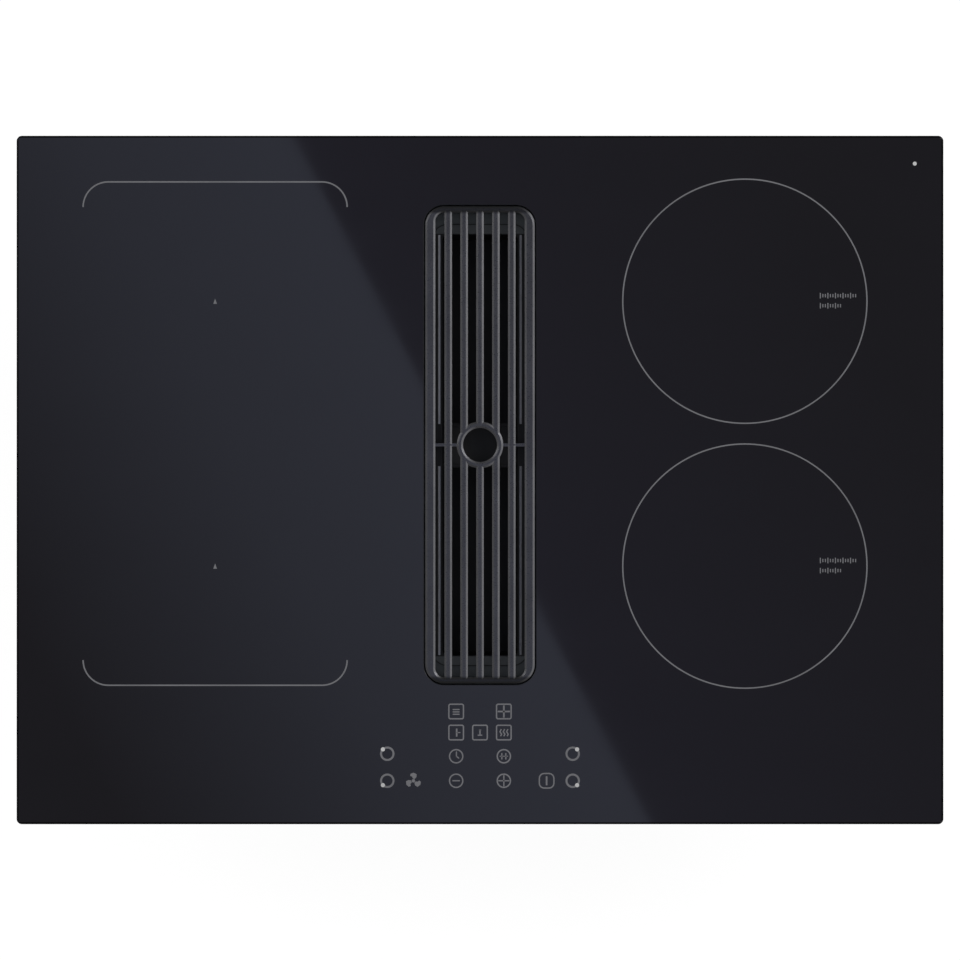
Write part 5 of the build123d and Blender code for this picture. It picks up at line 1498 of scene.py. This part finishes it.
@dataclass
class SuctionShaft(SubAssembly):
    """The shaft down to the tray, with the ribs moulded round it."""

    wall_x: float = 43.0
    wall_front: float = -143.7
    wall_rear: float = 196.7
    corner: float = 10.0
    rib_levels: tuple[float, ...] = (-112.0, -142.0, -172.0)
    rib_height: float = 2.4
    rib_proud: float = 1.0
    rib_root: float = 0.4
    column_step: float = 50.0
    column_count: int = 6
    column_low: float = -203.0
    column_high_free: float = -57.0
    column_high_duct: float = -98.0
    column_share: float = 0.9
    looks: ClassVar[dict[str, Look]] = {"suction_shaft": Look(BLACK_MOULD, 0.8)}

    def build(self) -> None:
        """Mould the ribs: bands all round below the duct and uprights on both long sides."""
        centre_y, size_y = (self.wall_front + self.wall_rear) / 2, self.wall_rear - self.wall_front
        form = Form()
        outer, inner = [
            round_box(0, centre_y, 2 * (self.wall_x + out), size_y + 2 * out, self.corner, steps=5)
            for out in (self.rib_proud, -self.rib_root)
        ]
        half = self.rib_height / 2
        for level in self.rib_levels:
            form.band(outer, inner, level - half, level + half)
        reach = (self.wall_x - self.rib_root, self.wall_x + self.rib_proud * self.column_share)
        for index in range(self.column_count):
            y = centre_y + (index - (self.column_count - 1) / 2) * self.column_step
            for side, top in ((-1, self.column_high_free), (1, self.column_high_duct)):
                x0, x1 = sorted(side * x for x in reach)
                form.box((x0, y - half, self.column_low), (x1, y + half, top))
        self.shop.piece("shaft_moulded_ribs", form, BLACK_MOULD, HOB, "black_plastic")


@dataclass
class Blower(SubAssembly):
    """The blower: smooth spiral wall over the solid's flats, floor ribs and motor windings."""

    axis: Point = (158.0, -25.0)
    tongue: float = 50.0
    radius_start: float = 81.0
    radius_end: float = 133.0
    wall: float = 2.5
    lip: float = 8.0
    skin: float = 0.08
    skin_root: float = 1.6
    lip_root: float = 3.0
    wall_low: float = -168.0
    lip_low: float = -98.5
    cover_high: float = -93.0
    skin_start: float = 84.0
    skin_end: float = 358.0
    skin_steps: int = 124
    floor_ribs: int = 12
    floor_rib_in: float = 57.0
    floor_rib_out: float = 78.0
    floor_rib_half: float = 0.9
    floor_rib_height: float = 2.0
    pockets: int = 6
    winding_reach: float = 41.4
    winding_rise: float = 12.5
    winding_strands: int = 4
    winding_radius: float = 0.9
    winding_half: float = 8.6
    looks: ClassVar[dict[str, Look]] = {
        "crossover_duct": Look(GREY_MOULD, 0.8),
        "scroll_cover": Look(GREY_MOULD, 0.5),
        "scroll_casing": Look(GREY_MOULD, 0.6),
        "impeller": Look(BLACK_MOULD),
        "motor_spindle": Look(STEEL, 0.2),
        "blower_motor": Look(MOTOR_PAINT, 0.6),
        "motor_bushes": Look(RUBBER, 0.3),
    }

    def spiral(self, reach: float) -> list[Point]:
        """Give points of the scroll's wall in plan.

        Args:
            reach: How far outside the scroll's inner face they lie.

        Returns:
            The points.
        """
        points = []
        for step in range(self.skin_steps + 1):
            angle = self.skin_start + (self.skin_end - self.skin_start) * step / self.skin_steps
            share = (angle - self.tongue) / (360.0 - self.tongue)
            radius = self.radius_start * (self.radius_end / self.radius_start) ** share + reach
            turn = math.radians(angle)
            x, y = self.axis
            points.append((x + radius * math.cos(turn), y + radius * math.sin(turn)))
        return points

    def skin_band(self, form: Form, reach: float, root: float, low: float, high: float) -> None:
        """Add a smooth curved skin over a flat-sided wall.

        Args:
            form: The form to add to.
            reach: How far outside the scroll's inner face the wall's outer face lies.
            root: How deep the skin goes into the wall.
            low: Its lower edge.
            high: Its upper edge.
        """
        outline = self.spiral(reach + self.skin) + self.spiral(reach - root)[::-1]
        form.stack([(outline, low), (outline, high)])

    def build(self) -> None:
        """Make the skins, the ribs under the casing's floor and the windings in the motor."""
        skins = Form()
        self.skin_band(skins, self.wall, self.skin_root, self.wall_low, self.lip_low)
        self.skin_band(skins, self.wall + self.lip, self.lip_root, self.lip_low, self.cover_high)
        self.shop.piece("scroll_moulded_skin", skins, GREY_MOULD, HOB, "grey_plastic", smooth=30.0)
        ribs = Form()
        copper = Form()
        axis = Matrix.Translation((*self.axis, 0))
        half, low = self.floor_rib_half, self.wall_low - self.floor_rib_height
        for index in range(self.floor_ribs):
            ribs.matrix = axis @ turned((index + 0.5) / self.floor_ribs)
            ribs.box(
                (self.floor_rib_in, -half, low), (self.floor_rib_out, half, self.wall_low + half)
            )
        middle = node_box("blower_motor")[0].z + self.winding_rise
        outline = circle(self.winding_radius, steps=10)
        for index in range(self.pockets):
            for strand in range(self.winding_strands):
                across = (strand - (self.winding_strands - 1) / 2) * 2 * self.winding_radius
                place = Matrix.Translation((self.winding_reach, across, middle))
                copper.matrix = axis @ turned(index / self.pockets) @ place
                copper.stack([(outline, -self.winding_half), (outline, self.winding_half)])
        self.shop.piece("scroll_floor_ribs", ribs, GREY_MOULD, HOB, "grey_plastic")
        self.shop.piece("motor_windings", copper, COPPER, HOB, "copper", smooth=50.0)


@dataclass
class OutletDuct(SubAssembly):
    """The outlet spigot with its sealing ridges, and the backflow flaps."""

    centre: Point = (191.0, -130.5)
    size: Point = (218.0, 85.0)
    corner: float = 5.0
    ridge_levels: tuple[float, float] = (228.0, 233.5)
    ridge_width: float = 1.8
    ridge_proud: float = 0.8
    ridge_root: float = 0.5
    web_xs: tuple[float, ...] = (292.9, 299.9, 299.9, 298.1, 291.1)
    web_ys: tuple[float, ...] = (179.0, 186.6, 188.6, 188.6, 180.8)
    web_levels: Point = (-172.5, -88.5)
    looks: ClassVar[dict[str, Look]] = {
        "outlet_spigot": Look(GREY_MOULD, 0.6),
        "outlet_flap_upper": Look(BLACK_MOULD, 0.2),
        "outlet_flap_lower": Look(BLACK_MOULD, 0.2),
    }

    def build(self) -> None:
        """Mould the ridges that a duct seals on, and the web that closes the outer corner."""
        form = Form(matrix=Matrix(((1, 0, 0), (0, 0, 1), (0, 1, 0))).to_4x4())
        width, height = self.size
        inner, base, outer = [
            round_box(*self.centre, width + 2 * out, height + 2 * out, corner, steps=6)
            for out, corner in (
                (-self.ridge_root, self.corner),
                (0.0, self.corner),
                (self.ridge_proud, self.corner + self.ridge_proud),
            )
        ]
        shapes = (inner, base, outer, outer, base, inner)
        steps = (-1.0, -1.0, -1 / 3, 1 / 3, 1.0, 1.0)
        half = self.ridge_width / 2
        for level in self.ridge_levels:
            form.wrap([form.ring(shape, level + step * half) for shape, step in zip(shapes, steps)])
        self.shop.piece("spigot_sealing_ridges", form, GREY_MOULD, HOB, "grey_plastic", smooth=50.0)
        web = Form()
        plan = list(zip(self.web_xs, self.web_ys))
        web.stack([(plan, level) for level in self.web_levels])
        self.shop.piece("spigot_corner_web", web, GREY_MOULD, HOB, "grey_plastic")


@dataclass
class WorktopClamps(SubAssembly):
    """The four clamps: threaded screws with socket heads, brackets and toothed claws.

    The profiles give radius and height from the head's underside and from the ring's top.
    """

    head_profile: tuple[Point, ...] = ((1.9, 4.0), (4.4, 4.0), (4.4, 0.6), (3.9, 0.0), (2.5, 0.0))
    clip_profile: tuple[Point, ...] = ((2.1, -1.0), (4.2, -1.0), (4.2, -0.2), (3.9, 0), (2.1, 0))
    sides: int = 28
    thread_radius: float = 2.5
    thread_pitch: float = 1.0
    thread_ends: Point = (3.7, 0.2)
    socket_radius: float = 2.2
    socket_depth: float = 2.4
    socket_lift: float = 0.02
    screw_inset: Point = (4.6, 4.0)
    tooth_pitch: float = 2.4
    tooth_share: float = 0.45
    tooth_height: float = 0.5
    tooth_root: float = 0.1
    tooth_start: float = 2.0
    tooth_inset: float = 0.6
    teeth: int = 5
    looks: ClassVar[dict[str, Look]] = {
        "clamp_brackets": Look(ZINC, 0.2),
        "clamp_screws": Look(STEEL),
        **{f"clamp_claw_{corner}": Look(ZINC, 0.3) for corner in CORNERS},
    }

    def screw(self, form: Form, x: float, y: float, low: float, high: float) -> None:
        """Add one clamp screw: socket head below, threaded shank, retaining ring above.

        Args:
            form: The form to add to.
            x: The screw's X.
            y: The screw's Y.
            low: Underside of the head.
            high: Top of the retaining ring.
        """
        form.matrix = Matrix.Translation((x, y, 0))
        start, spare = self.thread_ends
        form.thread(self.thread_radius, self.thread_pitch, low + start, high - spare)
        form.matrix = Matrix.Translation((x, y, low))
        form.lathe(self.head_profile, self.sides)
        form.matrix = form.matrix @ Matrix.Rotation(math.pi, 4, "X")
        rim_radius = self.head_profile[3][0]
        hexagon = circle(self.socket_radius, steps=6)
        form.socketed(circle(rim_radius, self.sides), hexagon, self.socket_lift, self.socket_depth)
        form.matrix = Matrix.Translation((x, y, high))
        form.lathe(self.clip_profile, self.sides)

    def build(self) -> None:
        """Make the screws and the claws' teeth."""
        low, high = node_box("clamp_screws")
        form = Form()
        inset_x, inset_y = self.screw_inset
        for x in (low.x + inset_x, high.x - inset_x):
            for y in (low.y + inset_y, high.y - inset_y):
                self.screw(form, x, y, low.z, high.z)
        screws = self.shop.piece("clamp_threaded_screws", form, STEEL, HOB, "steel", smooth=40.0)
        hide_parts("clamp_screws")
        half, inset = self.tooth_pitch * self.tooth_share, self.tooth_inset
        for corner in CORNERS:
            body = f"claw_{corner}"
            low, high = node_box(f"clamp_{body}")
            tip, inward = (low.y, -1) if corner.startswith("rear") else (high.y, 1)
            root, crest = high.z - self.tooth_root, high.z + self.tooth_height
            teeth = Form(matrix=Matrix(((0, 0, 1), (1, 0, 0), (0, 1, 0))).to_4x4())
            for index in range(self.teeth):
                y = tip - inward * (self.tooth_start + index * self.tooth_pitch)
                shape = [(y - half, root), (y + half, root), (y, crest)]
                teeth.stack([(shape, low.x + inset), (shape, high.x - inset)])
            self.shop.piece(f"claw_teeth_{corner}", teeth, ZINC, body, "galvanised")


@dataclass
class MainsTerminal(SubAssembly):
    """The terminal cover with its stiffening ribs, the block in it and the cable gland.

    The profiles give radius and height from the gland's shoulder.
    """

    gland: Triple = (-114.0, 193.0, -65.0)
    nut_profile: tuple[Point, ...] = (
        *((6.4, 0), (10.6, 0), (10.6, 1.6)),
        *((10.0, 3.2), (8.6, 4.6), (6.4, 5.0)),
    )
    nut_sides: int = 36
    seal_profile: tuple[Point, ...] = ((5.4, 0.6), (6.5, 0.6), (6.5, 4.4), (6.0, 4.7), (5.4, 4.2))
    seal_sides: int = 30
    grip_count: int = 16
    grip_low: Triple = (10.2, -0.5, 0.2)
    grip_high: Triple = (10.95, 0.5, 2.4)
    rib_offsets: Triple = (-22.0, 0.0, 22.0)
    rib_half: float = 1.0
    rib_height: float = 0.9
    rib_inset: float = 8.0
    looks: ClassVar[dict[str, Look]] = {
        "terminal_cover": Look(BLACK_MOULD, 0.6),
        "terminal_block": Look(WHITE_MOULD, 0.2),
        "cable_gland": Look(BLACK_MOULD, 0.4),
    }

    def build(self) -> None:
        """Make the gland's dome nut with its grips, the seal in it and the cover's ribs."""
        turn = Matrix(((1, 0, 0), (0, 0, 1), (0, -1, 0))).to_4x4()
        rear = Matrix.Translation(self.gland) @ turn
        nut = Form(matrix=rear)
        nut.lathe(self.nut_profile, self.nut_sides)
        for index in range(self.grip_count):
            nut.matrix = rear @ turned(index / self.grip_count)
            nut.box(self.grip_low, self.grip_high)
        self.shop.piece("gland_dome_nut", nut, BLACK_MOULD, HOB, "black_plastic", smooth=40.0)
        seal = Form(matrix=rear)
        seal.lathe(self.seal_profile, self.seal_sides)
        self.shop.piece("gland_seal_ring", seal, RUBBER, HOB, "rubber", smooth=40.0)
        low, high = node_box("terminal_cover")
        ribs = Form()
        half, inset = self.rib_half, self.rib_inset
        for offset in self.rib_offsets:
            x = self.gland[0] + offset
            ribs.box(
                (x - half, low.y + inset, low.z - self.rib_height),
                (x + half, high.y - inset, low.z + half),
            )
        self.shop.piece("terminal_cover_ribs", ribs, BLACK_MOULD, HOB, "black_plastic")


@dataclass
class Fasteners(SubAssembly):
    """The case screws, each with its washer face, chamfered hexagon, cross recess and thread."""

    washer_height: float = 0.8
    recess_arm: float = 2.0
    recess_half: float = 0.55
    recess_depth: float = 1.3
    chamfer: float = 0.45
    hexagon_share: float = 0.93
    rim_share: float = 0.97
    washer_ease: float = 0.25
    washer_sides: int = 24
    overlap: float = 0.1
    skin: float = 0.01
    thread_pitch: float = 1.3
    thread_sides: int = 12
    side_x: float = 290.0
    looks: ClassVar[dict[str, Look]] = {"case_screws": Look(STEEL)}

    def islands(self) -> list[list[Vector]]:
        """Split the node's mesh into its separate screws.

        Returns:
            The corners of each screw in millimetres.
        """
        mesh = bmesh.new()
        mesh.from_mesh(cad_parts["case_screws"].data)
        bmesh.ops.remove_doubles(mesh, verts=mesh.verts[:], dist=1e-6)
        seen: set[bmesh.types.BMVert] = set()
        groups = []
        for first in mesh.verts:
            if first in seen:
                continue
            seen.add(first)
            waiting, group = [first], []
            while waiting:
                vert = waiting.pop()
                group.append(vert.co / MM)
                near = [edge.other_vert(vert) for edge in vert.link_edges]
                fresh = [other for other in near if other not in seen]
                seen.update(fresh)
                waiting += fresh
            groups.append(group)
        mesh.free()
        return groups

    def cross(self) -> list[Point]:
        """Give the outline of the cross recess, anticlockwise."""
        arm, half = self.recess_arm, self.recess_half
        quarter = [(arm, -half), (arm, half), (half, half)]
        points = []
        for cosine, sine in ((1, 0), (0, 1), (-1, 0), (0, -1)):
            points += [(x * cosine - y * sine, x * sine + y * cosine) for x, y in quarter]
        return points

    def screw(self, form: Form, corners: list[Vector]) -> None:
        """Add one screw where the solid one stands.

        Args:
            form: The form to add to.
            corners: The solid screw's corners.
        """
        low = Vector(min(corner[axis] for corner in corners) for axis in range(3))
        high = Vector(max(corner[axis] for corner in corners) for axis in range(3))
        size, centre = high - low, (low + high) / 2
        along = 0 if abs(centre.x) > self.side_x and size.x > size.z else 2
        outward = -1.0 if along == 2 else math.copysign(1.0, centre.x)
        axis = Vector([outward if index == along else 0.0 for index in range(3)])
        at = centre.copy()
        at[along] = high[along] if outward > 0 else low[along]
        radial = [((corner - at) - axis * (corner - at).dot(axis)).length for corner in corners]
        radius = max(radial)
        least = radius * self.rim_share
        head = max(axis.dot(at - corner) for corner, r in zip(corners, radial) if r > least)
        form.matrix = Matrix.Translation(at) @ axis.to_track_quat("Z", "Y").to_matrix().to_4x4()
        flats = circle(radius * self.hexagon_share, steps=6)
        face = circle(radius * self.hexagon_share - self.chamfer, steps=6)
        base = -head + self.washer_height
        levels = ((flats, base), (flats, -self.chamfer), (face, -self.skin))
        foot, middle, top = [form.ring(outline, level) for outline, level in levels]
        form.bridge(foot, middle)
        form.bridge(middle, top)
        form.mesh.faces.new(foot[::-1])
        form.socketed(face, self.cross(), 0.0, self.recess_depth)
        washer = circle(radius, self.washer_sides)
        rim = circle(radius - self.washer_ease, self.washer_sides)
        edge = (washer, base - self.washer_ease)
        form.stack([(washer, -head), edge, (rim, base + 2 * self.skin)])
        ends = (self.overlap - size[along], self.overlap - head)
        form.thread(min(radial), self.thread_pitch, *ends, self.thread_sides)

    def build(self) -> None:
        """Make all the screws as one piece that stands for the node."""
        form = Form()
        groups = self.islands()
        for corners in groups:
            self.screw(form, corners)
        piece = self.shop.piece("case_hex_screws", form, STEEL, HOB, "steel", smooth=30.0)
        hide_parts("case_screws")
        LOG.info("made %d screws", len(groups))


# ------------------------------------------------------------------ studio
@dataclass
class Studio:
    """The floor, the lamps, the world and the reflection card over the camera."""

    distance: float = 3.0
    field_mm: float = 724.9
    sensor: float = 36.0
    clip_end: float = 30.0
    floor_half: float = 7.0
    floor_gap: float = 0.0004
    floor_shade: float = 0.86
    floor_white: float = 0.75
    floor_glow: float = 1.19
    floor_rough: float = 0.9
    floor_fleck: float = 30.0
    floor_tint: Point = (0.99, 1.01)
    fill: float = 0.55
    side_base: float = 0.25
    side_right: float = 0.75
    side_left: float = 0.12
    side_start: float = 0.15
    side_full: float = 0.6
    horizon_low: float = 0.10
    horizon_high: float = 0.24
    card_lift: float = 0.15
    card_half: float = 1.3
    edge_start: Point = (-140.0, 258.9)
    edge_end: Point = (124.6, -251.3)
    card_bright: float = 0.50
    card_tint: Triple = (1.0, 1.1, 1.45)
    card_near: Triple = (0.165, 0.165, 0.235)
    card_far: Triple = (0.115, 0.115, 0.12)
    card_reach: float = 354.0
    card_dark_reach: float = 330.0
    card_edge: float = 0.0005
    card_fall: tuple[Point, ...] = ((0.42, 0.73), (0.70, 0.38), (1.0, 0.0))
    lamp_size: float = 1.6
    lamps: tuple[tuple[str, Triple, float], ...] = (
        ("lamp_left", (-2.4, 1.2, 2.6), 13.0),
        ("lamp_right", (2.4, 1.3, 2.6), 26.0),
    )

    def camera(self) -> None:
        """Set the camera straight above the glass, at the photograph's framing."""
        data = bpy.data.cameras.new("photo_camera")
        data.sensor_width = self.sensor
        data.lens = self.sensor * self.distance / (self.field_mm * MM)
        data.clip_end = self.clip_end
        camera = bpy.data.objects.new("photo_camera", data)
        camera.location = (0.0, 0.0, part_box("glass_top")[1][2] + self.distance)
        bpy.context.scene.collection.objects.link(camera)
        bpy.context.scene.camera = camera

    def square(
        self, name: str, half: float, height: float, material: bpy.types.Material
    ) -> bpy.types.Object:
        """Make a flat square about its own origin.

        Args:
            name: The square's name.
            half: Half its side, in metres.
            height: Its height over its origin, in metres.
            material: Its material.

        Returns:
            The new object, in the scene.
        """
        data = bpy.data.meshes.new(name)
        plan = ((-half, -half), (half, -half), (half, half), (-half, half))
        data.from_pydata([(x, y, height) for x, y in plan], [], [(0, 1, 2, 3)])
        data.materials.append(material)
        piece = bpy.data.objects.new(name, data)
        bpy.context.scene.collection.objects.link(piece)
        return piece

    def floor_material(self) -> bpy.types.Material:
        """Make a pale surface that the camera sees as white but that still takes a shadow.

        Returns:
            The material.
        """
        bench = NodeBench("studio_floor")
        pale = (self.floor_shade, self.floor_shade, self.floor_shade, 1.0)
        tints = [shade_of(pale, factor) for factor in self.floor_tint]
        bench.colour(bench.tint(bench.noise(self.floor_fleck), *tints))
        bench.shader.inputs["Roughness"].default_value = self.floor_rough
        bench.shader.inputs["Specular IOR Level"].default_value = 0.0
        glow = bench.add("ShaderNodeEmission", Strength=self.floor_glow)
        path = bench.add("ShaderNodeLightPath").outputs
        seen = bench.math("MAXIMUM", path["Is Camera Ray"], path["Is Glossy Ray"])
        mix = bench.add("ShaderNodeMixShader")
        bench.link(bench.math("MULTIPLY", seen, self.floor_white), mix.inputs["Fac"])
        bench.link(bench.shader.outputs["BSDF"], mix.inputs[1])
        bench.link(glow.outputs["Emission"], mix.inputs[2])
        bench.surface(mix.outputs["Shader"])
        return bench.material

    def floor(self) -> None:
        """Lay the floor under the lowest point of the object."""
        low = CAD_BOX[0][2] - self.floor_gap
        piece = self.square("studio_floor", self.floor_half, low, self.floor_material())

    def world(self) -> None:
        """Make the world: white to the camera, an even fill, and for reflections a studio.

        The studio has its bright side to the right, a dimmer one to the left, and a dark band
        above the horizon.
        """
        world = bpy.data.worlds.new("studio")
        bpy.context.scene.world = world
        world.use_nodes = True
        bench = Bench(world.node_tree)
        background = bench.tree.nodes["Background"]
        background.inputs["Color"].default_value = (1.0, 1.0, 1.0, 1.0)

        def rise(source: Socket, low: float, high: float, top: float) -> Socket:
            """Rise smoothly from 0 at low to top at high."""
            node = bench.add(
                "ShaderNodeMapRange", interpolation_type="SMOOTHSTEP", From_Min=low, From_Max=high
            )
            node.inputs["To Max"].default_value = top
            bench.link(source, node.inputs["Value"])
            return node.outputs["Result"]

        def choose(by: Socket, other: Socket | float, chosen: Socket | float) -> Socket:
            """Give the chosen value where by is 1, and the other where it is 0."""
            node = bench.add("ShaderNodeMix")
            for index, value in enumerate((other, chosen), start=2):
                bench.feed(node.inputs[index], value)
            bench.link(by, node.inputs["Factor"])
            return node.outputs["Result"]

        split = bench.add("ShaderNodeSeparateXYZ")
        bench.link(bench.add("ShaderNodeTexCoord").outputs["Generated"], split.inputs["Vector"])
        right = rise(split.outputs["X"], self.side_start, self.side_full, self.side_right)
        left = rise(split.outputs["X"], -self.side_start, -self.side_full, self.side_left)
        sides = bench.math("ADD", bench.math("ADD", right, left), self.side_base)
        sky = rise(split.outputs["Z"], self.horizon_low, self.horizon_high, 1.0)
        path = bench.add("ShaderNodeLightPath").outputs
        unseen = choose(path["Is Glossy Ray"], self.fill, bench.math("MULTIPLY", sides, sky))
        direct = bench.math("MAXIMUM", path["Is Camera Ray"], path["Is Transmission Ray"])
        bench.link(choose(direct, unseen, 1.0), background.inputs["Strength"])

    def lamp(self, name: str, place: Triple, power: float) -> None:
        """Hang a soft lamp that faces the middle of the glass.

        Args:
            name: The lamp's name.
            place: Where it hangs, in metres.
            power: Its power in watts.
        """
        data = bpy.data.lights.new(name, "AREA")
        data.size = self.lamp_size
        data.energy = power
        lamp = bpy.data.objects.new(name, data)
        lamp.location = place
        lamp.rotation_euler = Vector(place).to_track_quat("Z", "Y").to_euler()
        bpy.context.scene.collection.objects.link(lamp)

    def card(self) -> None:
        """Hang the card that the glass mirrors: bright up to a slanted edge, dark beyond it."""
        rise = self.distance + self.card_lift
        scale = (self.distance + rise) / self.distance
        start, end = Vector(self.edge_start), Vector(self.edge_end)
        along = (end - start).normalized()
        outward = Vector((along.y, -along.x))
        if outward.x > 0:
            outward = -outward
        middle = (start + end) / 2 * scale * MM
        piece = self.square("reflection_card", self.card_half, 0.0, self.card_material(scale))
        turn = Matrix(((outward.x, along.x, 0), (outward.y, along.y, 0), (0, 0, -1))).to_4x4()
        place = (middle.x, middle.y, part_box("glass_top")[1][2] + rise)
        piece.matrix_world = Matrix.Translation(place) @ turn
        for ray in ("camera", "diffuse", "shadow", "transmission"):
            setattr(piece, f"visible_{ray}", False)

    def card_material(self, scale: float) -> bpy.types.Material:
        """Make the card's glow: its own X runs from the slanted edge into the bright side.

        Args:
            scale: How much larger the card's picture is than its mirror image on the glass.

        Returns:
            The material.
        """
        bench = NodeBench("reflection_card")
        split = bench.add("ShaderNodeSeparateXYZ")
        bench.link(bench.place(), split.inputs["Vector"])
        dark_end = -self.card_dark_reach * scale * MM
        bright_end = self.card_reach * scale * MM
        spread = bench.add("ShaderNodeMapRange", From_Min=dark_end, From_Max=bright_end)
        bench.link(split.outputs["X"], spread.inputs["Value"])
        edge = self.card_dark_reach / (self.card_dark_reach + self.card_reach)
        bright = [self.card_bright * share for share in self.card_tint]
        stops = [
            (0.0, list(self.card_far)),
            (edge - self.card_edge, list(self.card_near)),
            (edge + self.card_edge, bright),
        ]
        for reach, share in self.card_fall:
            colour = [far + (near - far) * share for far, near in zip(self.card_far, bright)]
            stops.append((edge + (1 - edge) * reach, colour))
        ramp = bench.add("ShaderNodeValToRGB")
        elements = ramp.color_ramp.elements
        while len(elements) < len(stops):
            elements.new(0.5)
        for element, (position, colour) in zip(elements, stops):
            element.position = position
            element.color = (*colour, 1.0)
        bench.link(spread.outputs["Result"], ramp.inputs["Fac"])
        glow = bench.add("ShaderNodeEmission", Strength=1.0)
        bench.link(ramp.outputs["Color"], glow.inputs["Color"])
        bench.surface(glow.outputs["Emission"])
        return bench.material

    def build(self) -> None:
        """Set up the whole studio."""
        bpy.context.scene.view_settings.view_transform = "Standard"
        self.camera()
        self.floor()
        self.world()
        for lamp in self.lamps:
            self.lamp(*lamp)
        self.card()


def main() -> None:
    """Dress the cooktop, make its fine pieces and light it."""
    logging.basicConfig(level=logging.INFO, format="%(message)s")
    shop = Workshop()
    kinds: list[type[SubAssembly]] = [
        GlassPlate,
        GlassPrint,
        IntakeWell,
        IntakeGrille,
        GreaseCassette,
        DripTray,
        CoilZones,
        ElectronicsPan,
        TouchControl,
        SuctionShaft,
        Blower,
        OutletDuct,
        WorktopClamps,
        MainsTerminal,
        Fasteners,
    ]
    for kind in kinds:
        group = kind(shop)
        group.dress()
        group.build()
    shop.check_dressed()
    Studio().build()
    LOG.info("sizes written")


if __name__ == "__main__":
    main()
